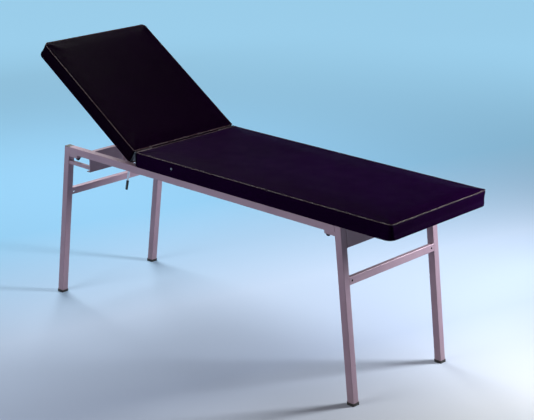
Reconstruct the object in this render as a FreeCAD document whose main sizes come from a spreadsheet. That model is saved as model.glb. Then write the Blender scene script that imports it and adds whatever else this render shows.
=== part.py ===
import FreeCAD, Part
import os
import re

import Sketcher

# Examination table: a welded and bolted square tube frame on four splayed legs carries a fixed
# upholstered section and a hinged backrest. Two slotted quadrants under the backrest slide over
# a clamp shaft between the rails, and a hanging lever tightens them at any angle.
#
# Axes: +X points to the foot end, +Y to the far side, +Z up. The origin is on the floor, at the
# middle of the box round the whole table with its backrest raised as drawn.

Vector = FreeCAD.Vector

# Two coordinates closer than this are the same, when edges are picked for rounding
SAME_PLACE = 1.0

# The order in which a sketch counts an edge and its points
POINTS = ("edge", "start", "end", "centre")

# Driving dimensions, millimetres and degrees
SIZES = [
    ("frame_length", 1500, "outer length of the frame at the tops of the legs"),
    ("frame_width", 556, "outer width of the frame"),
    ("rail_top", 670, "height of the top of the rails above the floor"),
    ("tube_side", 30, "side of the square tube of the rails, legs and cross tubes"),
    ("tube_wall", 1.5, "wall of every tube"),
    ("tube_round", 2.5, "rounding of every tube's long edges"),
    ("leg_splay", 7, "lean of each leg outwards along the table"),
    ("plug_flange", 2, "thickness of the plug's head on top of a leg"),
    ("plug_stem", 12, "depth of the plug inside the leg"),
    ("fit_gap", 0.1, "gap round a piece that sits in another"),
    ("foot_floor", 5, "rubber under the end of a leg"),
    ("foot_height", 10, "height of a rubber foot"),
    ("foot_wall", 2, "rubber round the end of a leg"),
    ("brace_height", 463, "height of the middle of the lower braces"),
    ("brace_tall", 30, "height of a brace's section"),
    ("brace_deep", 20, "depth of a brace's section"),
    ("brace_hole_inset", 14, "brace screw from the end of the brace"),
    ("spigot_length", 28, "length of the spigot inside each end of a brace"),
    ("spigot_gap", 0.25, "gap round a spigot inside its brace"),
    ("brace_screw", 6, "diameter of a brace screw"),
    ("brace_head", 11, "diameter of a brace screw's head"),
    ("brace_head_tall", 3, "height of a brace screw's head"),
    ("brace_screw_length", 13, "length of a brace screw under its head"),
    ("access_hole", 9, "diameter of the open hole in a brace's outer wall"),
    ("sheet_wall", 2, "thickness of the folded steel aprons"),
    ("apron_depth", 84, "height of the folded aprons"),
    ("apron_flange", 20, "width of an apron's folded edges"),
    ("head_apron_inset", 153, "head end of the frame to the face of the head apron"),
    ("head_apron_drop", 2, "top of the head apron below the top of the rails"),
    ("ear_inset", 3, "end of the head apron's lower ears from the outside of the rail"),
    ("strut_side", 14, "side of the square bar from head leg to apron"),
    ("strut_rise", 18, "middle of that bar above the bottom of the head apron"),
    ("tab_length", 45, "length of the bolted tab at the top of each leg"),
    ("tab_thick", 12, "thickness of that tab"),
    ("tab_inset", 2, "tab's edges from the faces of the rail"),
    ("corner_bolt", 8, "diameter of the bolt through a tab"),
    ("corner_head", 20, "diameter of the domed head under a tab"),
    ("corner_head_tall", 12, "height of the domed head"),
    ("corner_nut", 14, "diameter across the corners of the nut inside the rail"),
    ("corner_nut_tall", 6, "height of the nut inside the rail"),
    ("corner_bolt_inset", 9, "bolt from the free end of the tab"),
    ("side_overhang", 7, "upholstery past the frame on each side"),
    ("pad_thickness", 62, "height of the lying surface above the rails"),
    ("seat_length", 1292.5, "length of the fixed upholstered section"),
    ("back_length", 655, "length of the backrest"),
    ("foot_overhang", 232, "fixed section past the foot end of the frame"),
    ("board_thickness", 15, "plywood board inside each section"),
    ("cover_wrap", 3, "cover and foam round the edge of a board"),
    ("edge_round", 12, "rounding of the upholstery's top edges"),
    ("corner_round", 30, "rounding of the outer corners of the upholstery in plan"),
    ("seam_corner_round", 13, "rounding of the corners at the seam"),
    ("rest_gap", 0.5, "backrest above the rails when it lies flat"),
    ("axis_depth", 4.5, "hinge axis below the lying surface"),
    ("back_angle", 33.3, "angle of the backrest as drawn"),
    ("back_angle_most", 40, "steepest angle of the backrest"),
    ("leaf_thickness", 2, "thickness of a hinge leaf"),
    ("leaf_gap", 0.5, "hinge leaf from the plane through the hinge axis"),
    ("leaf_inset", 5, "outer end of a hinge from the side of the upholstery"),
    ("leaf_width", 90, "length of a hinge along its axis"),
    ("knuckle_side", 7, "diameter of a hinge knuckle"),
    ("knuckle_gap", 0.4, "gap between neighbouring knuckles, and from leaf to knuckle"),
    ("hinge_pin", 3.5, "diameter of a hinge pin"),
    ("running_gap", 0.05, "radial play of a pin or shaft in its bore"),
    ("leaf_screw", 4, "diameter of a screw through a hinge leaf"),
    ("leaf_screw_head", 8, "diameter of its head"),
    ("leaf_screw_head_tall", 1.2, "height of its head"),
    ("leaf_screw_length", 24, "length of that screw"),
    ("leaf_screw_pitch", 30, "distance between the screws of a leaf"),
    ("cover_hole_room", 1, "cover cut back round a screw that passes through it"),
    ("leaf_tab_drop", 28, "welded tab of the fixed leaf below the top of the rails"),
    ("middle_tube_place", 500, "foot end of the frame to the middle cross tube"),
    ("board_screw", 5, "diameter of a screw into the fixed board"),
    ("board_screw_head", 10, "diameter of its head"),
    ("board_screw_head_tall", 3, "height of its head"),
    ("board_screw_bite", 12, "length of that screw inside the board"),
    ("board_screw_pitch", 180, "distance between the screws of a cross tube"),
    ("clamp_reach", 88, "hinge axis to the clamp shaft along the table"),
    ("clamp_shaft", 10, "diameter of the clamp shaft"),
    ("clamp_plate", 4, "thickness of the quadrants and of the shaft's brackets"),
    ("clamp_gap", 0.5, "gap on each side of a quadrant"),
    ("bracket_length", 40, "length of the shaft's brackets along the rail"),
    ("bracket_tall", 22, "height of the shaft's brackets"),
    ("slot_play", 1, "width of the slot past the clamp shaft"),
    ("slot_margin", 4, "steel between the slot and a quadrant's edge"),
    ("slot_slack", 1.2, "angle of free slot past each end of the travel"),
    ("web_angle", 68, "angle at which a quadrant's web meets its slotted arm"),
    ("flange_width", 24, "width of a quadrant's screwed flange"),
    ("flange_screw", 5, "diameter of a screw through that flange"),
    ("flange_screw_head", 10, "diameter of its head"),
    ("flange_screw_head_tall", 3, "height of its head"),
    ("flange_screw_bite", 12, "length of that screw inside the board"),
    ("flange_screw_inset", 11, "inner screw from the web end of the flange"),
    ("flange_screw_pitch", 21, "distance between the two screws of a flange"),
    ("washer_side", 20, "diameter of a clamp washer"),
    ("washer_thick", 2, "thickness of a clamp washer"),
    ("lever_hub", 18, "diameter of the lever's threaded hub"),
    ("lever_hub_length", 15, "length of the lever's hub"),
    ("lever_gap", 0.3, "gap between the hub and its washer"),
    ("lever_rod", 8, "diameter of the lever's rod"),
    ("lever_socket", 3, "depth of the rod inside the hub"),
    ("grip_end", 8, "rubber past the end of the rod"),
    ("lever_grip", 11, "diameter of the lever's grip"),
    ("lever_grip_length", 46, "length of the lever's grip"),
    ("lever_reach", 121, "clamp shaft to the end of the grip"),
    ("lever_lean", 12, "lean of the lever towards the head as drawn"),
    ("lock_nut", 17, "width across the flats of the nut on the shaft's far end"),
    ("lock_nut_thick", 8, "thickness of that nut"),
    ("vent_place", 211, "seam to the vent eyelets along the table"),
    ("vent_height", 35, "vent eyelets above the rails"),
    ("vent_side", 9, "diameter of a vent eyelet"),
    ("vent_hole", 4, "hole of a vent eyelet"),
    ("vent_deep", 2, "depth of a vent eyelet"),
]

# Worked out from the driving dimensions. Each may use those above it.
RELATIONS = {
    "half_frame": "frame_length / 2",
    "tube_slant": "tube_side / cos(leg_splay)",
    "wall_slant": "tube_wall / cos(leg_splay)",
    "side_y": "(frame_width - tube_side) / 2",
    "inner_width": "(frame_width - 2 * tube_side)",
    "rail_under": "(rail_top - tube_side)",
    "head_apron_high": "(rail_top - head_apron_drop)",
    "head_apron_low": "(head_apron_high - apron_depth)",
    "strut_height": "(head_apron_low + strut_rise)",
    "through": "(2 * rail_top)",
    "pad_width": "(frame_width + 2 * side_overhang)",
    "bolt_hole": "(corner_bolt + 2 * fit_gap)",
    "brace_hole": "(brace_screw + 2 * fit_gap)",
    "brace_hole_y": "(inner_width / 2 - brace_hole_inset)",
    "board_hole": "(board_screw + 2 * fit_gap)",
    "leaf_hole": "(leaf_screw + 2 * fit_gap)",
    "flange_hole": "(flange_screw + 2 * fit_gap)",
    "shaft_bore": "(clamp_shaft + 2 * running_gap)",
    "seam_half": "(leaf_gap + leaf_thickness)",
    "seam_x": "(half_frame + foot_overhang - seat_length - seam_half)",
    "hinge_z": "(rail_top + pad_thickness - axis_depth)",
    "seat_under": "(axis_depth - pad_thickness)",
    "back_under": "(seat_under + rest_gap)",
    "head_reach": "((back_length + seam_half) * cos(back_angle) - back_under * sin(back_angle))",
    "middle_x": "((half_frame + foot_overhang + seam_x - head_reach) / 2)",
    "hinge_x": "(seam_x - middle_x)",
    "shaft_drop": "(hinge_z - rail_top + tube_side / 2)",
    "slot_radius": "sqrt(clamp_reach ^ 2 + shaft_drop ^ 2)",
    "shaft_angle": "(atan(shaft_drop / clamp_reach) / 1deg)",
    "slot_half": "(clamp_shaft + slot_play) / 2",
    "arm_half": "(slot_half + slot_margin)",
    "slot_first": "(shaft_angle - slot_slack)",
    "slot_last": "(shaft_angle + back_angle_most + slot_slack)",
    "rail_inside_y": "(frame_width / 2 - tube_side)",
    "quadrant_y": "(rail_inside_y - clamp_plate - clamp_gap - clamp_plate / 2)",
    "washer_y": "(quadrant_y - clamp_plate / 2 - clamp_gap - washer_thick / 2)",
    "hub_y": "(washer_y - washer_thick / 2 - lever_gap - lever_hub_length / 2)",
    "lock_nut_y": "(washer_y - washer_thick / 2 - lock_nut_thick / 2)",
    "hinge_y": "(pad_width / 2 - leaf_inset - leaf_width / 2)",
    "knuckle_long": "(leaf_width / 3)",
    "knuckle_clear": "(knuckle_side / 2 + knuckle_gap)",
    "arm_outer": "(slot_radius + arm_half)",
    "arm_inner": "(slot_radius - arm_half)",
    "flange_start": "(-sqrt(arm_outer ^ 2 - back_under ^ 2))",
    "web_x": "(-arm_inner * cos(web_angle))",
}

doc = FreeCAD.newDocument("examination_table")
sizes = doc.addObject("Spreadsheet::Sheet", "sizes")
parts = []


# The sheet and its formulas

def fill_sheet():
    for row, (alias, number, meaning) in enumerate(SIZES, start=1):
        sizes.set(f"A{row}", alias)
        sizes.set(f"B{row}", str(number))
        sizes.set(f"C{row}", meaning)
        sizes.setAlias(f"B{row}", alias)
    doc.recompute()


def formula(text):
    """The expression with each relation written out and each size read from the sheet."""
    aliases = {alias for alias, _, _ in SIZES}

    def spell(match):
        word = match.group(0)
        if word in RELATIONS:
            return f"({formula(RELATIONS[word])})"
        if word in aliases:
            return f"sizes.{word}"
        return word

    return re.sub(r"[a-z][a-z_]+", spell, str(text))


def value(text):
    """The number that a formula gives now."""
    result = sizes.evalExpression(formula(text))
    return float(getattr(result, "Value", result))


def bind(item, target, text):
    item.setExpression(target, formula(text))


# Sketches, prisms and holes

def flat_sketch(body, plane_role):
    sketch = body.newObject("Sketcher::SketchObject", f"{body.Name}_sketch")
    plane = next(item for item in body.Origin.OriginFeatures if item.Role == plane_role)
    sketch.AttachmentSupport = (plane, "")
    sketch.MapMode = "FlatFace"
    return sketch


def point_of(edge, name):
    """A point of a sketch's edge, as its constraints take it: the edge, then the point."""
    return edge, POINTS.index(name)


def fix_point(sketch, point, x, y):
    """Ties a point to its distances from the sketch's origin."""
    origin = point_of(-1, "start")
    for kind, text in (("DistanceX", x), ("DistanceY", y)):
        place = sketch.addConstraint(Sketcher.Constraint(kind, *origin, *point, value(text)))
        bind(sketch, f"Constraints[{place}]", text)


def draw_outline(sketch, corners):
    """A closed polygon through corners, each a pair of formulas."""
    spots = [Vector(value(x), value(y), 0) for x, y in corners]
    count = len(corners)
    first = sketch.GeometryCount
    for index in range(count):
        sketch.addGeometry(Part.LineSegment(spots[index], spots[(index + 1) % count]))
    for index in range(count):
        following = first + (index + 1) % count
        meeting = (*point_of(first + index, "end"), *point_of(following, "start"))
        sketch.addConstraint(Sketcher.Constraint("Coincident", *meeting))
    for index, (x, y) in enumerate(corners):
        fix_point(sketch, point_of(first + index, "start"), x, y)


def draw_circles(sketch, diameter, centres):
    for x, y in centres:
        spot = Vector(value(x), value(y), 0)
        circle = Part.Circle(spot, Vector(0, 0, 1), value(diameter) / 2)
        edge = sketch.addGeometry(circle)
        place = sketch.addConstraint(Sketcher.Constraint("Diameter", edge, value(diameter)))
        bind(sketch, f"Constraints[{place}]", diameter)
        fix_point(sketch, point_of(edge, "centre"), x, y)


def rectangle(left, low, right, high):
    return [(left, low), (right, low), (right, high), (left, high)]


def extrude(body, sketch, kind, width):
    """A pad or pocket of the given width, half on each side of the sketch."""
    feature = body.newObject(f"PartDesign::{kind}", f"{body.Name}_{kind.lower()}")
    feature.Profile = sketch
    feature.SideType = "Symmetric"
    bind(feature, "Length", width)
    sketch.Visibility = False
    return feature


def volume_of(body):
    doc.recompute()
    return body.Shape.Volume


def prism(name, outline, width):
    """A body with this outline in X and Z, centred on Y = 0."""
    body = doc.addObject("PartDesign::Body", name)
    body.Label = name
    sketch = flat_sketch(body, "XZ_Plane")
    draw_outline(sketch, outline)
    extrude(body, sketch, "Pad", width)
    return body


def add_prism(body, outline, width):
    sketch = flat_sketch(body, "XZ_Plane")
    draw_outline(sketch, outline)
    extrude(body, sketch, "Pad", width)


def cut(body, sketch, width):
    before = volume_of(body)
    extrude(body, sketch, "Pocket", width)
    if volume_of(body) >= before:
        raise RuntimeError(f"{body.Label}: a pocket took nothing away")


def cut_prism(body, outline, width):
    sketch = flat_sketch(body, "XZ_Plane")
    draw_outline(sketch, outline)
    cut(body, sketch, width)


def cut_holes(body, plane_role, diameter, centres, width, offset="0"):
    """Round holes through a body, square to the named plane and centred on its offset."""
    sketch = flat_sketch(body, plane_role)
    bind(sketch, "AttachmentOffset.Base.z", offset)
    draw_circles(sketch, diameter, centres)
    cut(body, sketch, width)


def round_edges(body, radius, test):
    """Fillets the edges that pass the test, which is given both ends of a straight edge."""
    doc.recompute()
    tip = body.Tip
    names = []
    for index, edge in enumerate(tip.Shape.Edges, start=1):
        ends = [vertex.Point for vertex in edge.Vertexes]
        if len(ends) == 2 and test(*ends):
            names.append(f"Edge{index}")
    fillet = body.newObject("PartDesign::Fillet", f"{body.Name}_fillet")
    fillet.Base = (tip, names)
    bind(fillet, "Radius", radius)


# Placing and grouping

def place(item, x="0", y="0", z="0", turn="0"):
    """Moves an item to x, y, z and turns it about +Y."""
    item.Placement = FreeCAD.Placement(Vector(), FreeCAD.Rotation(Vector(0, 1, 0), 1))
    bind(item, "Placement.Base.x", x)
    bind(item, "Placement.Base.y", y)
    bind(item, "Placement.Base.z", z)
    bind(item, "Placement.Rotation.Angle", turn)


def keep(item, x="0", y="0", z="0", turn="0"):
    """Places an item and lists it as one of the table's pieces."""
    place(item, x, y, z, turn)
    parts.append(item)


def keep_on_frame(item, y="0"):
    keep(item, x="-middle_x", y=y)


def keep_at_hinge(item, y="0", turn="0"):
    keep(item, x="hinge_x", y=y, z="hinge_z", turn=turn)


def cylinder(diameter, length, x, y, z, turn="0"):
    """A round bar that starts at x, y, z and runs along +Z turned about +Y."""
    bar = doc.addObject("Part::Cylinder", "bar")
    bind(bar, "Radius", f"({diameter}) / 2")
    bind(bar, "Height", length)
    place(bar, x, y, z, turn)
    return bar


def cross_bar(diameter, length, x, y, z):
    """A round bar along Y, centred on x, y, z."""
    bar = doc.addObject("Part::Cylinder", "bar")
    bind(bar, "Radius", f"({diameter}) / 2")
    bind(bar, "Height", length)
    bar.Placement = FreeCAD.Placement(Vector(), FreeCAD.Rotation(Vector(1, 0, 0), -90))
    bind(bar, "Placement.Base.x", x)
    bind(bar, "Placement.Base.y", f"({y}) - ({length}) / 2")
    bind(bar, "Placement.Base.z", z)
    return bar


def joined(members):
    whole = doc.addObject("Part::MultiFuse", "joined")
    whole.Shapes = members
    return whole


def without(base, tool):
    rest = doc.addObject("Part::Cut", "rest")
    rest.Base = base
    rest.Tool = tool
    return rest


def overlap_of(first, second):
    shared = doc.addObject("Part::Common", "shared")
    shared.Base = first
    shared.Tool = second
    return shared


def group(name, members):
    """One node that holds its members as separate solids."""
    whole = doc.addObject("Part::Compound", name)
    whole.Label = name
    whole.Links = members
    return whole


def labelled(item, name):
    item.Label = name
    return item


def screw(diameter, length, head_diameter, head_tall, x, y, z, turn):
    """A round-headed screw: its head starts at x, y, z and the shank follows it along the turn."""
    sine = f"sin({turn})"
    cosine = f"cos({turn})"
    head = cylinder(head_diameter, head_tall, x, y, z, turn)
    shank_x = f"({x}) + ({head_tall}) * {sine}"
    shank_z = f"({z}) + ({head_tall}) * {cosine}"
    shank = cylinder(diameter, length, shank_x, y, shank_z, turn)
    return joined([head, shank])


# The ends and sides of the frame

ENDS = [("head", "-1"), ("foot", "1")]
SIDES = [("near", "-1"), ("far", "1")]
CORNERS = [(f"{end}_{side}", toward, across) for end, toward in ENDS for side, across in SIDES]


def leg_x(toward, inward, height):
    """X of a line down a leg: inward is measured along the table from the leg's outer face."""
    return f"{toward} * (half_frame + (rail_top - ({height})) * tan(leg_splay) - ({inward}))"


def leg_slice(toward, outer, inner, low, high):
    """The outline between two lines down a leg and two heights."""
    return [
        (leg_x(toward, outer, low), low),
        (leg_x(toward, inner, low), low),
        (leg_x(toward, inner, high), high),
        (leg_x(toward, outer, high), high),
    ]


# Rails, legs and cross pieces

def round_tube(bar):
    """Rounds the long edges of a tube before its inside is cut."""
    long_edge = value("4 * tube_side")

    def along_the_tube(first, second):
        return first.distanceToPoint(second) > long_edge

    round_edges(bar, "tube_round", along_the_tube)


def round_uprights(piece, radius):
    def upright(first, second):
        return abs(first.z - second.z) > SAME_PLACE

    round_edges(piece, radius, upright)


def make_rails():
    for side, across in SIDES:
        outer = [
            (leg_x("-1", "tube_slant", "rail_under"), "rail_under"),
            (leg_x("1", "tube_slant", "rail_under"), "rail_under"),
            (leg_x("1", "tube_slant", "rail_top"), "rail_top"),
            (leg_x("-1", "tube_slant", "rail_top"), "rail_top"),
        ]
        rail = prism(f"rail_{side}", outer, "tube_side")
        round_tube(rail)
        reach = "half_frame + tube_side"
        inside = rectangle(f"-({reach})", "rail_under + tube_wall", reach, "rail_top - tube_wall")
        cut_prism(rail, inside, "tube_side - 2 * tube_wall")
        bolts = [(corner_bolt_x(toward), "0") for _, toward in ENDS]
        cut_holes(rail, "XY_Plane", "bolt_hole", bolts, "4 * tube_wall", "rail_under")
        keep_on_frame(rail, f"{across} * side_y")


def make_legs():
    top = "rail_top - plug_flange"
    for corner, toward, across in CORNERS:
        outer = leg_slice(toward, "0", "tube_slant", "foot_floor", top)
        leg = prism(f"leg_{corner}", outer, "tube_side")
        round_tube(leg)
        inner = leg_slice(toward, "wall_slant", "tube_slant - wall_slant", "0", "rail_top")
        cut_prism(leg, inner, "tube_side - 2 * tube_wall")
        keep_on_frame(leg, f"{across} * side_y")


def make_leg_plugs():
    plugs = []
    low = "rail_top - plug_flange"
    for _, toward, across in CORNERS:
        plug = prism("plug", leg_slice(toward, "0", "tube_slant", low, "rail_top"), "tube_side")
        round_uprights(plug, "tube_round")
        outer = "wall_slant + fit_gap"
        inner = "tube_slant - wall_slant - fit_gap"
        stem = leg_slice(toward, outer, inner, f"{low} - plug_stem", low)
        add_prism(plug, stem, "tube_side - 2 * tube_wall - 2 * fit_gap")
        place(plug, y=f"{across} * side_y")
        plugs.append(plug)
    keep_on_frame(group("leg_top_plugs", plugs))


def make_feet():
    for corner, toward, across in CORNERS:
        spread = "foot_wall + fit_gap"
        outer = leg_slice(toward, f"-({spread})", f"tube_slant + {spread}", "0", "foot_height")
        foot = prism(f"foot_{corner}", outer, "tube_side + 2 * (foot_wall + fit_gap)")
        round_uprights(foot, "tube_round + foot_wall")
        cup = leg_slice(toward, "-fit_gap", "tube_slant + fit_gap", "foot_floor", "foot_height + 1")
        cut_prism(foot, cup, "tube_side + 2 * fit_gap")
        keep_on_frame(foot, f"{across} * side_y")


def make_cross_tubes():
    places = [("hinge_cross_tube", "seam_x + seam_half"),
              ("middle_cross_tube", "half_frame - middle_tube_place")]
    for name, left in places:
        outer = rectangle(left, "rail_under", f"{left} + tube_side", "rail_top")
        tube = prism(name, outer, "inner_width")
        round_tube(tube)
        inner = rectangle(f"{left} + tube_wall", "rail_under + tube_wall",
                          f"{left} + tube_side - tube_wall", "rail_top - tube_wall")
        cut_prism(tube, inner, "inner_width")
        centres = [(f"{left} + tube_side / 2", f"{row} * board_screw_pitch") for row in (-1, 0, 1)]
        cut_holes(tube, "XY_Plane", "board_hole", centres, "through")
        keep_on_frame(tube)


def make_board_screws():
    screws = []
    for left in ("seam_x + seam_half", "half_frame - middle_tube_place"):
        for row in (-1, 0, 1):
            screws.append(screw(
                "board_screw", "tube_side + board_screw_bite", "board_screw_head",
                "board_screw_head_tall", f"{left} + tube_side / 2", f"{row} * board_screw_pitch",
                "rail_under - board_screw_head_tall", "0"))
    keep_on_frame(group("seat_board_screws", screws))


def make_foot_apron():
    low = "rail_top - apron_depth"
    slant = "sheet_wall / cos(leg_splay)"
    web = leg_slice("1", "0", slant, low, "rail_top")
    apron = prism("foot_apron", web, "inner_width")
    folds = [(low, f"{low} + sheet_wall"), ("rail_top - sheet_wall", "rail_top")]
    for bottom, top in folds:
        add_prism(apron, leg_slice("1", "0", "apron_flange", bottom, top), "inner_width")
    keep_on_frame(apron)


def make_head_apron():
    face = "head_apron_inset - half_frame"
    back = f"{face} - sheet_wall"
    edge = f"{face} - apron_flange"
    low = "head_apron_low"
    high = "head_apron_high"
    apron = prism("head_apron", rectangle(back, low, face, high), "inner_width")
    add_prism(apron, rectangle(edge, f"{high} - sheet_wall", face, high), "inner_width")
    ears = "frame_width - 2 * ear_inset"
    add_prism(apron, rectangle(back, low, face, "rail_under"), ears)
    add_prism(apron, rectangle(edge, low, face, f"{low} + sheet_wall"), ears)
    keep_on_frame(apron)


def make_head_struts():
    low = "strut_height - strut_side / 2"
    high = "strut_height + strut_side / 2"
    apron_back = "head_apron_inset - half_frame - sheet_wall"
    outline = [
        (leg_x("-1", "tube_slant", low), low),
        (apron_back, low),
        (apron_back, high),
        (leg_x("-1", "tube_slant", high), high),
    ]
    for side, across in SIDES:
        strut = prism(f"head_strut_{side}", outline, "strut_side")
        keep_on_frame(strut, f"{across} * (frame_width / 2 - ear_inset - strut_side / 2)")


# Bolted corners

def corner_bolt_x(toward):
    return f"{toward} * (half_frame - tube_slant - tab_length + corner_bolt_inset)"


def make_corner_tabs():
    tabs = []
    low = "rail_under - tab_thick"
    for _, toward, across in CORNERS:
        free_end = f"{toward} * (half_frame - tube_slant - tab_length)"
        outline = [
            (leg_x(toward, "tube_slant", low), low),
            (free_end, low),
            (free_end, "rail_under"),
            (leg_x(toward, "tube_slant", "rail_under"), "rail_under"),
        ]
        tab = prism("tab", outline, "tube_side - 2 * tab_inset")
        hole = [(corner_bolt_x(toward), "0")]
        cut_holes(tab, "XY_Plane", "bolt_hole", hole, "through")
        place(tab, y=f"{across} * side_y")
        tabs.append(tab)
    keep_on_frame(group("corner_tabs", tabs))


def make_corner_bolts():
    bolts = []
    nuts = []
    under = "rail_under - tab_thick"
    inside = "rail_under + tube_wall"
    for _, toward, across in CORNERS:
        x = corner_bolt_x(toward)
        y = f"{across} * side_y"
        shank = cylinder("corner_bolt", "tab_thick + tube_wall + corner_nut_tall", x, y, under)
        head = doc.addObject("Part::Ellipsoid", "dome")
        bind(head, "Radius1", "corner_head_tall")
        bind(head, "Radius2", "corner_head / 2")
        bind(head, "Radius3", "corner_head / 2")
        head.Angle2 = 0
        place(head, x, y, under)
        bolts.append(joined([shank, head]))
        nut = doc.addObject("Part::Prism", "nut")
        nut.Polygon = 6
        bind(nut, "Circumradius", "corner_nut / 2")
        bind(nut, "Height", "corner_nut_tall")
        place(nut, x, y, inside)
        bore = cylinder("corner_bolt + 2 * running_gap", "corner_nut_tall", x, y, inside)
        nuts.append(without(nut, bore))
    keep_on_frame(group("corner_bolts", bolts))
    keep_on_frame(group("corner_nuts", nuts))


# Lower braces

def brace_box(toward, margin):
    """The brace's section, seen from its outer face's middle, shrunk by a margin."""
    outer = f"-{toward} * ({margin})"
    inner = f"-{toward} * (brace_deep - ({margin}))"
    return rectangle(outer, f"({margin}) - brace_tall / 2", inner, f"brace_tall / 2 - ({margin})")


def keep_at_brace(item, toward):
    x = f"{leg_x(toward, '0', 'brace_height')} - middle_x"
    keep(item, x=x, z="brace_height", turn=f"-{toward} * leg_splay")


def make_braces():
    for end, toward in ENDS:
        brace = prism(f"{end}_brace", brace_box(toward, "0"), "inner_width")
        round_tube(brace)
        cut_prism(brace, brace_box(toward, "tube_wall"), "inner_width")
        holes = [(f"{across} * brace_hole_y", "0") for _, across in SIDES]
        cut_holes(brace, "YZ_Plane", "brace_hole", holes, "through")
        cut_holes(brace, "YZ_Plane", "access_hole", holes, "4 * tube_wall")
        keep_at_brace(brace, toward)


def make_brace_spigots():
    for end, toward in ENDS:
        spigots = []
        margin = "tube_wall + spigot_gap"
        for _, across in SIDES:
            spigot = prism("spigot", brace_box(toward, margin), "spigot_length")
            middle = f"{across} * (inner_width / 2 - spigot_length / 2)"
            hole = [(f"{across} * (spigot_length / 2 - brace_hole_inset)", "0")]
            cut_holes(spigot, "YZ_Plane", "brace_screw + 2 * running_gap", hole, "through")
            place(spigot, y=middle)
            spigots.append(spigot)
        keep_at_brace(group(f"{end}_brace_spigots", spigots), toward)


def make_brace_screws():
    for end, toward in ENDS:
        screws = []
        for _, across in SIDES:
            x = f"-{toward} * (brace_deep + brace_head_tall)"
            screws.append(screw(
                "brace_screw", "brace_screw_length", "brace_head", "brace_head_tall",
                x, f"{across} * brace_hole_y", "0", f"{toward} * 90"))
        keep_at_brace(group(f"{end}_brace_screws", screws), toward)


# Upholstered sections

def rounded_slab(name, left, right, low, high, width, seam_side, trim):
    """A slab in the hinge's own axes with its four upright edges rounded."""
    slab = prism(name, rectangle(left, low, right, high), width)
    seam_at = value(left) if seam_side == "left" else value(right)

    def upright(first, second):
        return abs(first.x - second.x) < SAME_PLACE and abs(first.y - second.y) < SAME_PLACE

    def at_seam(first, second):
        return upright(first, second) and abs(first.x - seam_at) < SAME_PLACE

    def away_from_seam(first, second):
        return upright(first, second) and not at_seam(first, second)

    round_edges(slab, f"corner_round - {trim}", away_from_seam)
    round_edges(slab, f"seam_corner_round - {trim}", at_seam)
    return slab


def board_slab(name, left, right, under, seam_side):
    return rounded_slab(name, f"{left} + cover_wrap", f"{right} - cover_wrap", under,
                        f"{under} + board_thickness", "pad_width - 2 * cover_wrap",
                        seam_side, "cover_wrap")


def section_pad(name, left, right, under, seam_side):
    """A padded section without the recess that its board fills."""
    pad = rounded_slab(name, left, right, under, "axis_depth", "pad_width", seam_side, "0")
    top = value("axis_depth")

    def on_top(first, second):
        return abs(first.z - top) < SAME_PLACE and abs(second.z - top) < SAME_PLACE

    round_edges(pad, "edge_round", on_top)
    drill_for_leaf(pad, under, "leaf_screw + 2 * cover_hole_room")
    return pad


def leaf_screw_rows():
    """Y of every screw through the hinge leaves of one section."""
    rows = []
    for _, across in SIDES:
        for step in (-1, 0, 1):
            rows.append(f"{across} * hinge_y + {step} * leaf_screw_pitch")
    return rows


def drill_for_leaf(body, under, diameter):
    height = f"{under} + board_thickness / 2"
    centres = [(row, height) for row in leaf_screw_rows()]
    cut_holes(body, "YZ_Plane", diameter, centres, "2 * (leaf_screw_length + seam_half)")


def make_seat():
    section = ("seam_half", "seam_half + seat_length", "seat_under", "left")
    pad = section_pad("seat_pad", *section)
    vents = [("vent_place", "seat_under + vent_height")]
    for _, across in SIDES:
        cut_holes(pad, "XZ_Plane", "vent_side + 2 * fit_gap", vents, "2 * vent_deep",
                  f"{across} * pad_width / 2")
    recess = board_slab("seat_recess", *section)
    keep_at_hinge(labelled(without(pad, recess), "seat_cushion"))
    board = board_slab("seat_board", *section)
    drill_for_leaf(board, "seat_under", "leaf_hole")
    centres = []
    for tube_left in ("seam_half", "half_frame - middle_tube_place - seam_x"):
        for row in (-1, 0, 1):
            centres.append((f"{tube_left} + tube_side / 2", f"{row} * board_screw_pitch"))
    cut_holes(board, "XY_Plane", "board_hole", centres, "through")
    keep_at_hinge(board)


def make_vents():
    vents = []
    for _, across in SIDES:
        y = f"{across} * (pad_width / 2 - vent_deep / 2)"
        z = "seat_under + vent_height"
        outer = cross_bar("vent_side", "vent_deep", "vent_place", y, z)
        hole = cross_bar("vent_hole", "2 * vent_deep", "vent_place", y, z)
        vents.append(without(outer, hole))
    keep_at_hinge(group("seat_vents", vents))


def make_backrest():
    section = ("-(seam_half + back_length)", "-seam_half", "back_under", "right")
    pad = section_pad("backrest_pad", *section)
    recess = board_slab("backrest_recess", *section)
    keep_at_hinge(labelled(without(pad, recess), "backrest_cushion"), turn="back_angle")
    board = board_slab("backrest_board", *section)
    drill_for_leaf(board, "back_under", "leaf_hole")
    cut_holes(board, "XY_Plane", "flange_hole", flange_screw_spots(), "through")
    keep_at_hinge(board, turn="back_angle")


# Hinges

def leaf_plate(side, section, toward, under, outer_knuckles):
    """A hinge leaf's plate. It reaches up to its own knuckles and clears those of the other leaf."""
    inner = f"{toward} * leaf_gap"
    outer = f"{toward} * seam_half"
    low_part = rectangle(inner, under, outer, "-knuckle_clear")
    neck = rectangle(inner, "-knuckle_clear", outer, "0")
    plate = prism(f"{section}_leaf_{side}_plate", low_part, "leaf_width")
    if outer_knuckles:
        add_prism(plate, neck, "leaf_width")
        cut_prism(plate, neck, "knuckle_long")
    else:
        add_prism(plate, neck, "knuckle_long - 2 * knuckle_gap")
    return plate


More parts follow.
